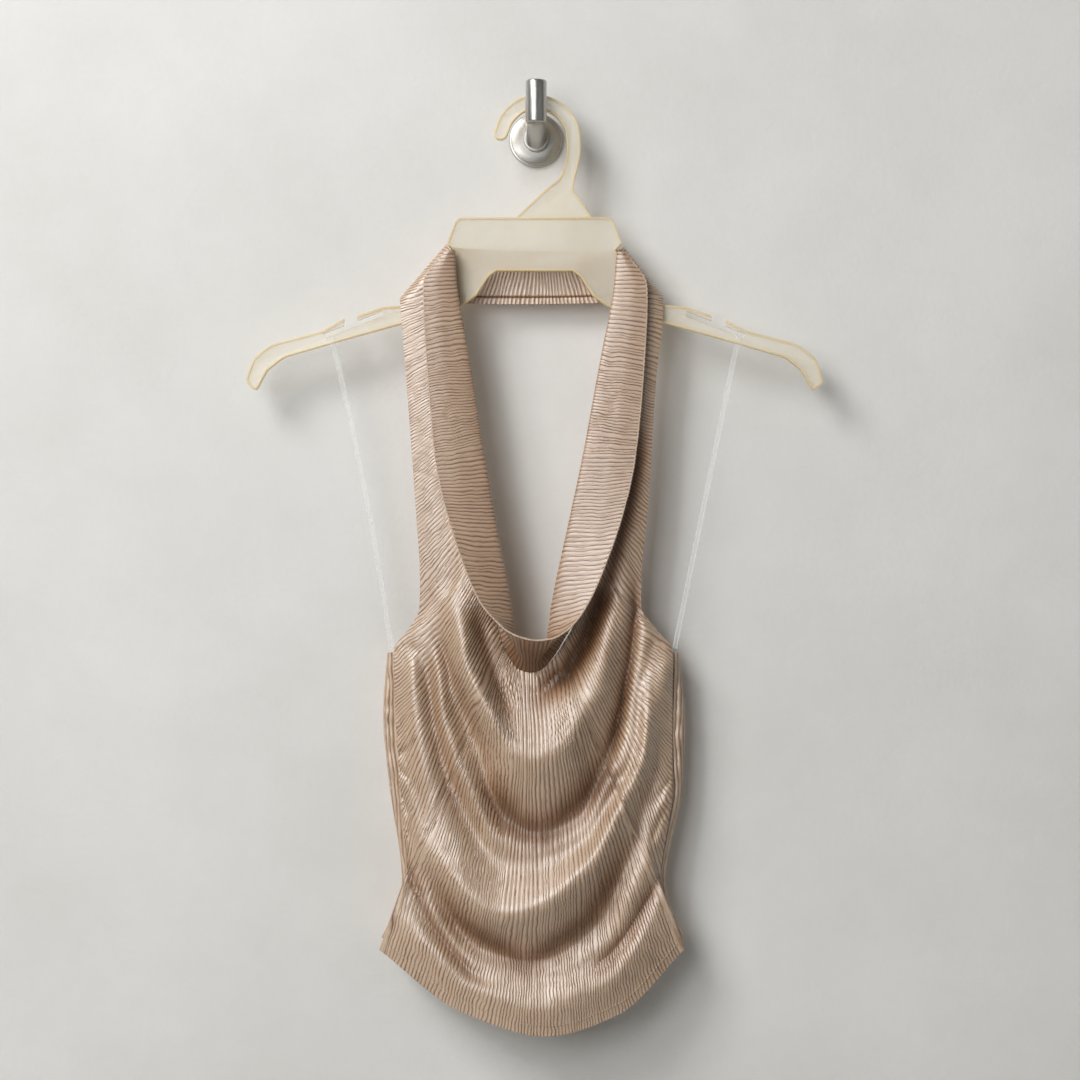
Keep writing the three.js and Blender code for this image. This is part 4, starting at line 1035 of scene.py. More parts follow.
@dataclass
class Blouse:
    """The blouse's four cloth pieces, the bead on its collar and the stitches on its hem."""

    cut: Cut = field(default_factory=Cut)
    thickness: float = 0.8
    front_columns: int = 1291
    span_rows: tuple[int, ...] = (12, 10, 4, 5, 9, 8, 4, 4, 4, 4)
    collar_start: float = 1.1
    collar_crown: float = 1.5
    collar_columns: int = 1033
    bead_radius: float = 0.5
    bead_scallop: float = 0.25
    bead_pitch: float = 3.2
    bead_stations: int = 881
    collar_shade_top: float = -365
    collar_shade_reach: float = 30
    back_out: float = 12
    back_seam: float = 1.2
    back_lead: float = 1.6
    back_under: float = 1.4
    back_roll: float = 8.5
    back_reach: float = 72
    back_rolls: tuple[float, ...] = (4.5, 9.5, 7.5, 3.5, 2.5)
    back_sag: tuple[float, float] = (8, 42)
    back_gather: float = 1.1
    back_ripple: float = 0.7
    back_ribs: float = 84
    back_columns: int = 361
    band_out: float = 19.2
    band_fold: float = 4.6
    band_seam: float = 1.05
    band_ribs: float = 62
    band_columns: int = 361
    stitch_groove: float = 0.9
    hem_depth: float = 8
    band_stitch: float = 0.87

    def shell(self, name: str, middle: Array, rib: Array, outwards: int, steps: tuple[int, int],
              crinkle: Crinkle, both: bool = False, painted_shade_and_seam: Array | None = None) -> Sheet:
        """Gives a middle surface its thickness, ribs, flat map and grooves.

        Args:
            name: the piece's name.
            middle: the middle surface, shape (columns, rows, 3).
            rib: rib number of each column, or of each point.
            outwards: 1 or -1, the side of the surface that shows most.
            steps: how many columns and rows of the outer face make one of the inner.
            crinkle: the rib pattern.
            both: whether the inner face is as fine as the outer and carries the ribs too.
            painted_shade_and_seam: how far each point is darkened, by shade painted into a hollow or by a
                dark stitch line, from 0 to 1, or None.

        Returns:
            The closed shell.
        """
        along = np.concatenate([np.zeros((len(rib), 1)), np.cumsum(
            np.linalg.norm(np.diff(middle, axis=1), axis=-1), axis=1)], axis=1)
        normal = unit(np.cross(np.gradient(middle, axis=0), np.gradient(middle, axis=1))) * outwards
        number = rib if rib.ndim == 2 else np.broadcast_to(rib[:, None], along.shape)
        phase, level, columns = crinkle.fields(middle, number, along)
        relief = (2 * crinkle.height(phase, level, columns) - 1) * crinkle.depth
        half = self.thickness / 2
        outer = middle + normal * (half + relief)[..., None]
        column_step, row_step = (1, 1) if both else steps
        inner = (middle - normal * (half - (relief if both else 0.0 * relief))[..., None])[
            ::column_step, ::row_step]
        if outwards < 0:
            outer, inner = outer, inner
        flat = np.stack([phase * crinkle.pitch, along], axis=-1)
        # The share of the tone kept at each point: shade painted into hollows, and dark stitch lines.
        dull = np.ones_like(along) if painted_shade_and_seam is None else 1 - painted_shade_and_seam
        return Sheet(name, outer, inner, column_step, row_step, flat, level, dull)

    def columns(self, count: int, surface: Callable[[Array, Array], Array], rows: Array) -> Array:
        """Rib numbers for columns that lie equally far apart on average over some rows.

        Args:
            count: how many columns there are.
            surface: gives a point for a rib number and a share of its length.
            rows: the shares at which the spacing is measured.

        Returns:
            The rib number of each column.
        """
        rib = np.linspace(0, LAST_RIB, 897)
        run = np.zeros(len(rib))
        for share in rows:
            line = surface(rib, np.full_like(rib, share))
            ahead = surface(rib, np.full_like(rib, max(share - 0.02, 0)))
            way = unit(line - ahead)
            step = np.diff(line, axis=0)
            step = step - (step * way[1:]).sum(-1, keepdims=True) * way[1:]
            run[1:] += np.cumsum(np.linalg.norm(step, axis=1))
        return np.interp(np.linspace(0, run[-1], count), run, rib)

    def front_panel(self) -> bpy.types.Object:
        """The draped front with both straps."""
        rib = self.columns(self.front_columns, lambda r, t: self.cut.front(r, t), (0.4, 0.6, 0.8, 0.95))
        knots = self.cut.knots(rib)
        rows = [knots[:, i:i + 1] + (knots[:, i + 1:i + 2] - knots[:, i:i + 1])
                * np.linspace(0, 1, count, endpoint=False)
                for i, count in enumerate(self.span_rows)]
        t = np.concatenate([*rows, knots[:, -1:]], axis=1)
        middle = self.cut.front(np.broadcast_to(rib[:, None], t.shape), t, creases=True)
        x, z = middle[..., 0], middle[..., 2]
        number = rib[:, None] + eased(self.cut.upright(x, z), 4)
        # The creases' shade is painted into the front's hollows as darker tone.
        return self.shell("front", middle, number, -1, (3, 2), Crinkle(seed=11),
                          painted_shade_and_seam=self.cut.creased(x, z)[1]).build()

    def collar_lines(self, rib: Array) -> Array:
        """Four control points of the collar on each rib: start, roll, fall and free edge."""
        seam = self.cut.front(rib, np.zeros_like(rib), creases=True)
        roll, free = self.cut.place("roll", rib), self.cut.place("free", rib)
        fall = (roll + free) / 2 + np.array([0, -self.collar_crown, 0])
        start = seam + unit(roll - seam) * self.collar_start
        return np.stack([start, roll, fall, free], axis=-2)

    def collar(self) -> bpy.types.Object:
        """The folded collar, ribbed on both faces because both show."""
        surface = lambda r, t: self.cut.place("free", r) * t[:, None] + self.cut.place(
            "roll", r) * (1 - t[:, None])
        rib = self.columns(self.collar_columns, surface, np.array([0.3, 0.95]))
        middle = through(self.collar_lines(rib), 10)
        # Painted shade: the whole collar is a little darker, and more so below a set height.
        low = smooth((self.collar_shade_top - middle[..., 2]) / self.collar_shade_reach)
        return self.shell("collar", middle, rib, -1, (1, 1), Crinkle(seed=23, depth=0.36), both=True,
                          painted_shade_and_seam=0.15 + 0.45 * low).build()

    def collar_bead(self) -> bpy.types.Object:
        """The narrow bead rolled along the collar's free edge, scalloped by the ribs."""
        path = evenly(self.cut.place("free", np.linspace(0, LAST_RIB, 600)), self.bead_stations)
        way = unit(np.gradient(path, axis=0))
        forwards = unit(np.cross(way, np.cross(np.tile([0.0, -1.0, 0.0], (len(path), 1)), way)))
        across = np.cross(way, forwards)
        run = np.arange(len(path)) * np.linalg.norm(path[1] - path[0])
        scallop = self.bead_scallop * np.abs(np.cos(np.pi * run / self.bead_pitch))
        radius = self.bead_radius + scallop + 0.12 * wander(run / 5, run * 0, 5)
        turn = np.linspace(0, 2 * np.pi, 8, endpoint=False)
        section = radius[:, None, None] * np.stack([np.cos(turn), np.sin(turn)], axis=-1)[None]
        return swept("collar_bead", path, across, forwards, section)

    def side_seam(self, rib: Array) -> tuple[Array, Array]:
        """The front's side seam at some ribs, and the direction in which the front runs out."""
        ones = np.ones_like(rib)
        point = self.cut.front(rib, ones)
        down = self.cut.front(rib + 1, ones) - self.cut.front(rib - 1, ones)
        way = point - self.cut.front(rib, ones * 0.985)
        outwards = unit(np.cross(np.cross(down, way), down))
        outwards *= np.sign((outwards * way).sum(-1, keepdims=True))
        return point, outwards

    def back_row(self, sides: Sequence[tuple[Array, Array, int]], share: float, roll: float) -> Array:
        """One line of the back in plan, from seam to seam round behind.

        Args:
            sides: for each side, the seam's point, the front's direction there, and -1 or 1.
            share: how far down the seam the line starts, from 0 to 1.
            roll: how far the back rolls out past the seam.

        Returns:
            The line's points, evenly spaced, shape (back_columns, 3).
        """
        ends = []
        for point, way, sign in sides:
            start, lead = point - way * self.back_lead, point + way * self.back_seam
            ends.append([(start[0], start[1] + self.back_under), (lead[0], lead[1] + self.back_under),
                         (point[0] + sign * roll * 0.7, point[1] + self.back_under * 2.2),
                         (point[0] + sign * roll, point[1] + self.back_roll),
                         (point[0] + sign * roll * 0.5, -self.back_out - 3),
                         (point[0] - sign * 8, -self.back_out)])
        middle = [(x, -self.back_out - 1.5 * math.cos(x / 6.4) * share)
                  for x in np.linspace(-self.back_reach, self.back_reach, 9)]
        plan = [*ends[0], *middle, *ends[1][::-1]]
        return evenly(through(np.array([(x, y, 0.0) for x, y in plan]), 24), self.back_columns)

    def back_panel(self) -> bpy.types.Object:
        """The low back, whose sides roll round to the seams at the front."""
        shares = np.linspace(0, 1, 41)
        rolls = Monotone((0, 0.35, 0.57, 0.79, 1), self.back_rolls)(shares)
        left, left_way = self.side_seam(60.2 + 26.8 * shares)
        right, right_way = self.side_seam(163.8 - 26.8 * shares)
        part = np.linspace(0, 1, self.back_columns)
        grid = np.zeros((self.back_columns, len(shares), 3))
        for j, share in enumerate(shares):
            line = self.back_row(((left[j], left_way[j], -1), (right[j], right_way[j], 1)), share, rolls[j])
            sag = self.back_sag[0] + (self.back_sag[1] - self.back_sag[0]) * share
            line[:, 2] = left[j, 2] + (right[j, 2] - left[j, 2]) * part - sag * np.sin(np.pi * part) ** 2
            grid[:, j] = line
        # Soft gathers that spread inwards from the tucks in the side seams.
        u, v = np.meshgrid(part, shares, indexing="ij")
        side = np.minimum(u, 1 - u)
        gather = np.exp(-(side / 0.16) ** 2) * np.exp(-((v - 0.4) / 0.3) ** 2)
        sway = np.cos(v * 60 + side * 30 + 1.3 * wander(u * 6, v * 9, 41))
        ripple = (self.back_gather * gather * sway
                  + self.back_ripple * wander(u * 16, v * 1.3, 43) * smooth(side * 12))
        grid[..., 1] -= ripple * smooth(side * 30)
        rib = np.linspace(0, self.back_ribs, self.back_columns)
        return self.shell("back", grid, rib, 1, (2, 2), Crinkle(seed=37)).build()

    def neck_band(self) -> bpy.types.Object:
        """The straps' ends joined into one band behind the neck."""
        ends = self.cut.front(np.array([0.0, 8, 216, 224]), np.ones(4))
        top_left, low_left, low_right, top_right = ends
        share = np.linspace(0, 1, self.band_columns)[:, None]
        sag = np.sin(np.pi * share) ** 0.5
        top = top_left + (top_right - top_left) * share
        low = low_left + (low_right - low_left) * share
        top[:, 2:] -= 3 * sag
        low[:, 2:] -= 4 * sag
        down = np.concatenate([np.linspace(0, self.band_stitch - 0.06, 16),
                               np.linspace(self.band_stitch - 0.04, 1, 15)])
        grid = top[:, None] + (low - top)[:, None] * down[None, :, None]
        stitch = np.exp(-((down - self.band_stitch) / 0.018) ** 2) * np.ones((len(share), 1))
        grid[..., 1] = self.band_seam - self.cut.over_shoulder(
            grid[..., 0], grid[..., 2], np.full(grid.shape[:2], self.band_out), self.band_fold)
        grid[..., 1] += self.stitch_groove * stitch
        return self.shell("neck_band", grid, np.linspace(0, self.band_ribs, len(share)), 1, (1, 1),
                          Crinkle(seed=53), both=True, painted_shade_and_seam=0.75 * stitch).build()

    def stitches(self, name: str, path: Array, normal: Array, pitch: float = 2.6) -> bpy.types.Object:
        """A row of short thread stitches along a path.

        Args:
            name: the piece's name.
            path: points along the row, shape (rows, 3), in millimetres.
            normal: outward direction at each point.
            pitch: distance from one stitch to the next.

        Returns:
            One mesh that holds all the stitches.
        """
        length = np.linalg.norm(np.diff(path, axis=0), axis=1).sum()
        count = int(length / pitch)
        places = evenly(path, count * 4 + 1)
        facing = unit(evenly(normal, count * 4 + 1))
        points, faces = [], []
        turn = np.linspace(0, 2 * np.pi, 6, endpoint=False)
        for i in range(count):
            start, end = places[i * 4], places[i * 4 + 3]
            out = facing[i * 4 + 1]
            way = unit(end - start)
            side = unit(np.cross(way, out))
            for part, size in ((0.0, 0.08), (0.2, 0.26), (0.5, 0.3), (0.8, 0.26), (1.0, 0.08)):
                centre = start + (end - start) * part + out * (0.28 * math.sin(math.pi * part))
                points += [centre + size * (math.cos(a) * side + math.sin(a) * out) for a in turn]
            base = i * 30
            for ring in range(4):
                for k in range(6):
                    a, b = base + ring * 6 + k, base + ring * 6 + (k + 1) % 6
                    faces.append((a, b, b + 6, a + 6))
            faces += [tuple(base + k for k in range(5, -1, -1)), tuple(base + 24 + k for k in range(6))]
        piece = Bench.mesh(name, np.array(points), faces)
        Bench.face_outwards(piece)
        bpy.ops.object.shade_smooth_by_angle(angle=math.radians(60))
        return piece

    def hem_stitches(self) -> bpy.types.Object:
        """The stitches that hold the front's hem, a little above its edge."""
        rib = np.linspace(88.6, 135.4, 200)
        edge = self.cut.front(rib, np.ones_like(rib))
        length = np.linalg.norm(edge - self.cut.front(rib, np.zeros_like(rib)), axis=1)
        t = 1 - self.hem_depth / length
        path = self.cut.front(rib, t, creases=True)
        along = self.cut.front(rib, t + 0.003, creases=True) - path
        normal = unit(np.cross(np.gradient(path, axis=0), along))
        normal *= -np.sign(normal[:, 1:2])
        return self.stitches("hem_stitches", path + normal * (self.thickness / 2 + 0.35), normal)

    def build(self) -> None:
        """Builds and dresses every cloth piece."""
        front, collar, bead = self.front_panel(), self.collar(), self.collar_bead()
        back, band, hem = self.back_panel(), self.neck_band(), self.hem_stitches()
        for piece, material, *nodes in (
                (front, SATIN, "front_panel"), (collar, SATIN, "cowl_collar"), (bead, EDGE_SATIN),
                (back, SATIN, "back_panel"), (band, SATIN, "back_neck_band"), (hem, THREAD)):
            dress(piece, material, "crinkle_satin", *nodes)


# ---- the hanger ------------------------------------------------------------------------------
@dataclass
class Hanger:
    """The moulded hanger: thick rims round a thin web, a neck and a flat hook."""

    middle: float = 28.5
    axis: float = -1.2
    rim_depth: float = 9
    rim_width: float = 1.5
    web_front: float = 4.1
    web_back: float = 1.5
    hook_width: float = 10.4
    hook_rim: float = 1.4
    slot_height: float = 3.6
    edge: float = 0.35
    half: tuple[tuple[float, ...], ...] = (
        (58.8, -62.9, 5), (66.2, -82.3, 1), (61, -88), (94.6, -129, 4), (113.5, -130.4),
        (133.1, -136.7), (144.1, -139.7), (159.6, -148.4), (199.7, -159, 6), (212.6, -169.6, 5),
        (218.6, -187, 4), (210.5, -194.6, 4), (202, -178.7), (189.9, -168.8, 5), (151.3, -157.5),
        (98.3, -142.7), (55.2, -130.2, 4), (43.9, -121.9), (34.4, -107.2, 3), (28.7, -103.3))
    hook_line: tuple[tuple[float, float], ...] = (
        (-26.6, 1), (-22.3, 11.2), (-14.4, 19.7), (-4, 24.2), (7.7, 23.2), (18.2, 17.6), (25.7, 8),
        (28.4, -4.1), (28.4, -14.7), (26.2, -26))
    neck_right: tuple[tuple[float, ...], ...] = ((29.3, -33.5, 2), (27.9, -41.5, 3), (42.4, -63.8))
    neck_left: tuple[tuple[float, ...], ...] = ((-15.7, -63.8), (5, -43.5, 6), (18.5, -33, 6))
    slot_line: tuple[tuple[float, float], ...] = ((114.6, -135.5), (158.5, -152.3))
    slot_mouth: tuple[tuple[float, float], ...] = (
        (133.7, -131), (143.9, -131), (143.9, -147), (133.7, -143.5))

    @staticmethod
    def rounded(corners: Sequence[Sequence[float]], arc: int = 5) -> list[tuple[float, float]]:
        """An outline whose corners, (x, z, radius), are rounded by short arcs."""
        outline: list[tuple[float, float]] = []
        for i, corner in enumerate(corners):
            here = np.array(corner[:2], float)
            radius = corner[2] if len(corner) > 2 else 0
            if radius <= 0:
                outline.append((float(here[0]), float(here[1])))
                continue
            ends = [here + unit(np.array(other[:2], float) - here) * radius
                    for other in (corners[i - 1], corners[(i + 1) % len(corners)])]
            for t in np.linspace(0, 1, arc):
                point = (1 - t) ** 2 * ends[0] + 2 * t * (1 - t) * here + t**2 * ends[1]
                outline.append((float(point[0]), float(point[1])))
        return outline

    @staticmethod
    def inset(corners: Sequence[Sequence[float]], distance: float) -> list[tuple[float, ...]]:
        """The corners of a clockwise outline moved inwards by a distance."""
        moved = []
        for i, corner in enumerate(corners):
            here = np.array(corner[:2], float)
            before = unit(here - np.array(corners[i - 1][:2], float))
            after = unit(np.array(corners[(i + 1) % len(corners)][:2], float) - here)
            bisector = unit(before + after)
            inwards = np.array([bisector[1], -bisector[0]])
            here = here + inwards * distance / max(float(bisector @ after), 0.5)
            radius = corner[2] if len(corner) > 2 else 0
            moved.append((here[0], here[1], max(radius - distance * 0.7, 0)))
        return moved

    def rimmed(self, name: str, corners: Sequence[Sequence[float]], rim: float) -> bpy.types.Object:
        """A moulding with low rims in front and deeper ones behind, round a thin web."""
        body = Bench.plate(name, self.rounded(corners), self.rim_depth, self.middle)
        pocket = self.rounded(self.inset(corners, rim))
        for face, web in ((1, self.web_front), (-1, self.web_back)):
            depth = self.rim_depth / 2 - web
            away = self.middle + face * (web + depth)
            Bench.boolean(body, Bench.plate("pocket", pocket, depth * 2, away), "DIFFERENCE")
        return body

    def stroke(self, line: Array, width: float) -> list[tuple[float, float]]:
        """The outline of a band along a line in the plane of the wall."""
        way = unit(np.gradient(line, axis=0))
        side = np.stack([way[:, 1], -way[:, 0]], axis=-1) * width / 2
        outline = np.concatenate([line - side, (line + side)[::-1]])
        return [(float(x), float(z)) for x, z in outline]

    def hook_outline(self) -> list[Sequence[float]]:
        """The hook's band with its round tip, and the neck that widens down to the plate."""
        curve = through(np.array([(x, z, 0.0) for x, z in self.hook_line]), 5)[:, :2]
        band = self.stroke(curve, self.hook_width)
        back = math.atan2(*(curve[0] - curve[1])[::-1])
        tip = [curve[0] + self.hook_width / 2 * np.array([math.cos(back + a), math.sin(back + a)])
               for a in np.radians(np.linspace(67.5, -67.5, 7))]
        turn = len(curve)
        return [*band[:turn], *self.neck_right, *self.neck_left, *band[turn:],
                *[(float(x), float(z)) for x, z in tip]]

    def cut_slots(self, body: bpy.types.Object) -> None:
        """Cuts the slanting strap slot and its open mouth into each arm."""
        for side in (-1, 1):
            ends = np.array([(self.axis + side * x, z) for x, z in self.slot_line])
            mouth = [(self.axis + side * x, z) for x, z in self.slot_mouth]
            for name, outline in (("slot", self.stroke(ends, self.slot_height)), ("mouth", mouth)):
                tool = Bench.plate(name, outline, self.rim_depth * 2, self.middle)
                Bench.boolean(body, tool, "DIFFERENCE")

    def paint(self, body: bpy.types.Object) -> None:
        """Gives the thin web and the thick rims their two kinds of plastic."""
        plastic = FrostedPlastic()
        body.data.materials.clear()
        for part in (PlasticPart.RIM, PlasticPart.WEB):
            body.data.materials.append(plastic.material(part))
        for face in body.data.polygons:
            out = -face.center.y / MM - self.middle
            inside = min(abs(out - self.web_front), abs(out + self.web_back))
            face.material_index = int(inside < 0.2 and abs(face.normal.y) > 0.9)

    def build(self) -> None:
        """Joins the plate, stem and hook, cuts the strap slots and eases the edges."""
        mirrored = [(-c[0], *c[1:]) for c in self.half][::-1]
        outline = [(c[0] + self.axis, *c[1:]) for c in (*mirrored, *self.half)]
        body = self.rimmed("hanger_moulding", outline, self.rim_width)
        Bench.boolean(body, self.rimmed("hook", self.hook_outline(), self.hook_rim), "UNION")
        self.cut_slots(body)
        Bench.modify(body, "BEVEL", width=self.edge * MM, segments=2, limit_method="ANGLE",
                     angle_limit=math.radians(35), use_clamp_overlap=True)
        self.paint(body)
        Bench.settle(body, 35)
        dress(body, None, "frosted_plastic", "hanger")


# ---- the hang loops --------------------------------------------------------------------------
@dataclass
class HangLoop:
    """A loop of clear elastic tape over one arm of the hanger, down to the underarm."""

    side: str
    top: tuple[float, float]
    bottom: tuple[float, float]
    slack: float
    width: float = 3.6
    depth: float = 0.9
    middle: float = 28.5
    bead: float = 0.9
    bead_top: float = 0.35
    top_half: float = 5.6
    foot_half: float = 2.7

    def build(self) -> None:
        """Sweeps the tape's thick-edged section along the loop."""
        start, end = (np.array([x, -self.middle, z]) for x, z in (self.top, self.bottom))
        length = float(np.linalg.norm(end - start))
        along = unit(end - start)
        across = np.array([-along[2], 0.0, along[0]])
        down = np.linspace(0, 1, 40)
        ways = np.concatenate([down, down[::-1]])
        half = self.top_half + (self.foot_half - self.top_half) * ways
        out = half * np.repeat([1, -1], len(down))
        path = (start + along * (ways * length)[:, None] + np.array([0.0, -1.0, 0.0]) * out[:, None]
                + across * (self.slack * 4 * ways * (1 - ways))[:, None])
        way = unit(np.roll(path, -1, axis=0) - np.roll(path, 1, axis=0))
        outwards = unit(np.cross(way, across))
        w, d = self.width / 2, self.depth / 2
        edge = [(w - self.bead, -d * 0.35), (w - self.bead_top, -d), (w, -d * 0.6)]
        face = np.array([*((-x, y) for x, y in edge[::-1]), *edge])
        shape = np.concatenate([face, -face])
        section = np.tile(shape, (len(path), 1, 1))
        sides = np.tile(across, (len(path), 1))
        loop = swept(f"hang_tape_{self.side}", path, sides, outwards, section, closed=True)
        loop.data.materials.append(ClearElastic("clear elastic web", 0.05).material())
        # The edges are less clear than the web, so the bright lines along the beads are painted on as
        # highlight.
        loop.data.materials.append(ClearElastic("clear elastic edge", 0.12).material())
        # Only the strips between the beads, one on each face of the tape, are web.
        for i, strip in enumerate(loop.data.polygons):
            strip.material_index = 0 if i % len(shape) in (2, 8) else 1
        dress(loop, None, "clear_elastic", f"hang_loop_{self.side}")


# ---- the wall hook ---------------------------------------------------------------------------
@dataclass
class WallHook:
    """The steel wall hook: a round rose, a slanting neck on a small ring, and an upright peg."""

    rose_radius: float = 20.6
    rose_depth: float = 5
    rose_edge: tuple[tuple[float, float], ...] = (
        (0.4, 0), (0, 0.4), (0, 2.2), (0.5, 2.9), (1.8, 3.2), (2.2, 3.7), (4.5, 4.4), (8, 4.8))
    ring_radius: float = 9.6
    ring_depth: float = 2.4
    peg_out: float = 42
    peg_radius: float = 8
    peg_bottom: float = 6.6
    peg_top: float = 38.9
    neck_radius: float = 7.5
    neck_rise: float = 0.4
    seam: float = 0.3

    def turned(self, name: str, profile: Sequence[tuple[float, float]],
               centre: tuple[float, float, float],
               towards: tuple[float, float, float]) -> bpy.types.Object:
        """A solid turned on a lathe: a line of (radius, height) spun round an axis.

        Args:
            name: the new object's name.
            profile: the line, from the axis at the foot to the axis at the top, in millimetres.
            centre: the foot of the axis, in millimetres.
            towards: the direction of the axis.

        Returns:
            The turned solid, with its place in its mesh.
        """
        Bench.clear()
        bpy.ops.mesh.primitive_plane_add(size=0.01)
        piece = bpy.context.object
        piece.name = name
        bpy.ops.object.mode_set(mode="EDIT")
        bpy.ops.mesh.select_all(action="SELECT")
        bpy.ops.mesh.delete(type="FACE")
        bpy.ops.object.mode_set(mode="OBJECT")
        piece.data.clear_geometry()
        piece.data.from_pydata([(r * MM, 0, h * MM) for r, h in profile],
                               [(i, i + 1) for i in range(len(profile) - 1)], [])
        Bench.select(piece)
        bpy.ops.object.mode_set(mode="EDIT")
        bpy.ops.mesh.select_all(action="SELECT")
        bpy.ops.mesh.spin(steps=64, angle=math.tau, center=(0, 0, 0), axis=(0, 0, 1))
        bpy.ops.mesh.select_all(action="SELECT")
        bpy.ops.mesh.remove_doubles(threshold=0.01 * MM)
        Bench.face_outwards(piece)
        piece.rotation_mode = "QUATERNION"
        piece.rotation_quaternion = Vector((0, 0, 1)).rotation_difference(Vector(towards))
        piece.location = Vector(centre) * MM
        Bench.settle(piece, 30)
        return piece

    def eased(self, radius: float, height: float, ease: float) -> list[tuple[float, float]]:
        """The profile of a drum whose two rims are rounded by a small radius."""
        arc = [(ease * math.sin(a), ease * (1 - math.cos(a))) for a in np.linspace(0, math.pi / 2, 5)]
        low = [(radius - ease + x, y) for x, y in arc]
        high = [(radius - ease + x, height - y) for x, y in arc[::-1]]
        return [(0, 0), *low, *high, (0, height)]

    def build(self) -> None:
        """Turns the four parts and joins the neck, ring and peg."""
        out = (0, -1, 0)
        dome = [(0, 0), *((self.rose_radius - x, y) for x, y in self.rose_edge), (0, self.rose_depth)]
        rose = self.turned("hook_rose", dome, (0, 0, 0), out)
        dress(rose, BrushedSteel("brushed stainless steel, rose", (1, 0, 0), tone="#c6c4bf",
                                 roughness=0.34).material(), "brushed_steel", "wall_rose")
        foot = self.rose_depth + self.seam
        end = np.array([0, -self.peg_out, (self.peg_out - self.rose_depth) * self.neck_rise])
        way = end - np.array([0, -foot, 0])
        length = float(np.linalg.norm(way))
        neck = self.turned("neck", [(0, 0), (self.peg_radius, 0), (self.peg_radius - 0.6, 4),
                                    (self.neck_radius, length * 0.6), (self.neck_radius, length),
                                    (0, length)], (0, -foot, 0), tuple(unit(way)))
        drum = self.eased(self.peg_radius, self.peg_top - self.peg_bottom, 1.6)
        peg = self.turned("hook_peg_turned", drum, (0, -self.peg_out, self.peg_bottom), (0, 0, 1))
        ring = self.turned("ring", self.eased(self.ring_radius, self.ring_depth, 0.8), (0, -foot, 0), out)
        Bench.boolean(peg, neck, "UNION")
        Bench.boolean(peg, ring, "UNION")
        keep = Bench.plate("wall_side", [(-30, 30), (30, 30), (30, -30), (-30, -30)], 20, foot - 10)
        Bench.boolean(peg, keep, "DIFFERENCE")
        Bench.settle(peg, 30)
        dress(peg, BrushedSteel("brushed stainless steel, peg", (0, 0, 1)).material(),
              "brushed_steel", "hook_peg")


# ---- camera, light and surroundings ----------------------------------------------------------
@dataclass(frozen=True)
class Lamp:
    """A square soft light that faces the blouse: its place and side in metres, and its watts."""

    name: str
    place: tuple[float, float, float]
    size: float
    power: float

    def build(self) -> None:
        """Hangs the lamp."""
        data = bpy.data.lights.new(self.name, "AREA")
        data.energy, data.size = self.power, self.size
        lamp = bpy.data.objects.new(self.name, data)
        lamp.location = self.place
        lamp.rotation_mode = "QUATERNION"
        aim = Vector((0, 0, -0.3)) - Vector(self.place)
        lamp.rotation_quaternion = aim.to_track_quat("-Z", "Y")
        bpy.context.collection.objects.link(lamp)


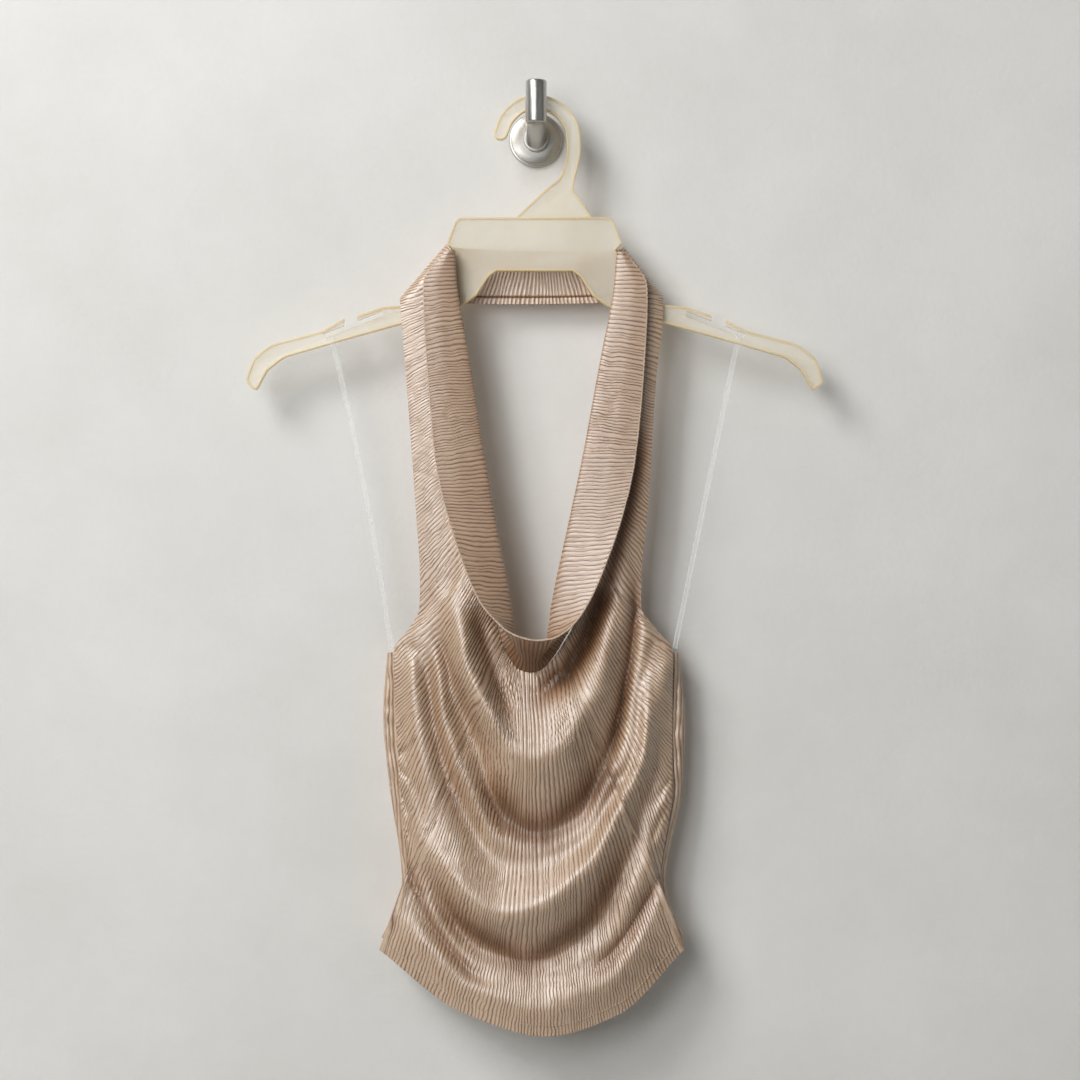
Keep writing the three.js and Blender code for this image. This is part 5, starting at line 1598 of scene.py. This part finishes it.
@dataclass
class Studio:
    """The pale wall and floor, the soft light from the upper left, and the level camera."""

    eye: tuple[float, float, float] = (0.003, -1.957, -0.3065)
    lens: float = 85
    lamps: tuple[Lamp, ...] = (
        Lamp("key", (-1.5, -1.7, 1.4), 1.1, 54), Lamp("front_light", (-1.1, -2.5, 0.3), 1.4, 33),
        Lamp("fill", (1.6, -1.6, 0.1), 1.6, 1.5), Lamp("rear", (-0.9, 1.9, 0.6), 1.2, 22))
    sky: float = 0.14
    backdrop: float = 6
    wall_gap: float = 0.0008
    floor_drop: float = 2.2

    def camera(self) -> None:
        """Sets the camera level with the middle of the blouse."""
        data = bpy.data.cameras.new("camera")
        data.lens, data.sensor_width = self.lens, 36
        camera = bpy.data.objects.new("camera", data)
        camera.location = self.eye
        camera.rotation_euler = (math.pi / 2, 0, 0)
        bpy.context.collection.objects.link(camera)
        bpy.context.scene.camera = camera

    def wall_paint(self) -> bpy.types.Material:
        """Matt plaster paint that only its front shows, so that the back can be seen too."""
        material, tree, shader = new_material("matt wall paint")
        cloud = noise(tree, on_piece(tree), 0.25, 6, 0.65)
        pits = noise(tree, on_piece(tree), 1 / 220, 2)
        hue = ramp(tree, cloud, [(0.35, "#d3d2ce"), (0.65, "#dcdbd8")])
        finish(tree, shader, hue, (pits, 0.4 * MM, 0.5), Roughness=0.85)
        side = add_node(tree, "ShaderNodeNewGeometry")
        clear = add_node(tree, "ShaderNodeBsdfTransparent")
        mix = add_node(tree, "ShaderNodeMixShader", {
            0: side.outputs["Backfacing"], 1: shader.outputs[0], 2: clear.outputs[0]})
        tree.links.new(mix.outputs[0], tree.nodes["Material Output"].inputs["Surface"])
        return material

    def floor_paint(self) -> bpy.types.Material:
        """Plain pale matt floor."""
        material, _, shader = new_material("pale floor")
        shader.inputs["Base Color"].default_value = colour("#d9d7d2")
        shader.inputs["Roughness"].default_value = 0.8
        return material

    def surround(self, name: str, place: tuple[float, float, float], tilt: float,
              paint: bpy.types.Material) -> bpy.types.Object:
        """A large flat backdrop at a place, tilted about X."""
        Bench.clear()
        bpy.ops.mesh.primitive_plane_add(size=self.backdrop, location=place, rotation=(tilt, 0, 0))
        backdrop = bpy.context.object
        backdrop.name = name
        backdrop.data.materials.append(paint)
        return backdrop

    def build(self) -> None:
        """Builds the camera, lights, wall and floor."""
        self.camera()
        for lamp in self.lamps:
            lamp.build()
        world = bpy.data.worlds.new("studio")
        world.use_nodes = True
        background = world.node_tree.nodes["Background"]
        background.inputs["Color"].default_value = colour("#eeeeec")
        background.inputs["Strength"].default_value = self.sky
        bpy.context.scene.world = world
        bpy.context.scene.view_settings.view_transform = "Standard"
        wall = self.surround("backdrop_wall", (0, self.wall_gap, 0), math.pi / 2, self.wall_paint())
        wall.visible_shadow = False
        floor = self.surround("backdrop_floor", (0, -self.backdrop / 2, -self.floor_drop), 0,
                           self.floor_paint())


def main() -> None:
    """Builds the whole dressed part, piece by piece."""
    Studio().build()
    WallHook().build()
    Hanger().build()
    HangLoop("left", top=(-155.1, -151.4), bottom=(-109.4, -388.6), slack=3).build()
    HangLoop("right", top=(153.3, -151.4), bottom=(104.8, -388.4), slack=0).build()
    Blouse().build()
    Bench.clear()


if __name__ == "__main__":
    main()
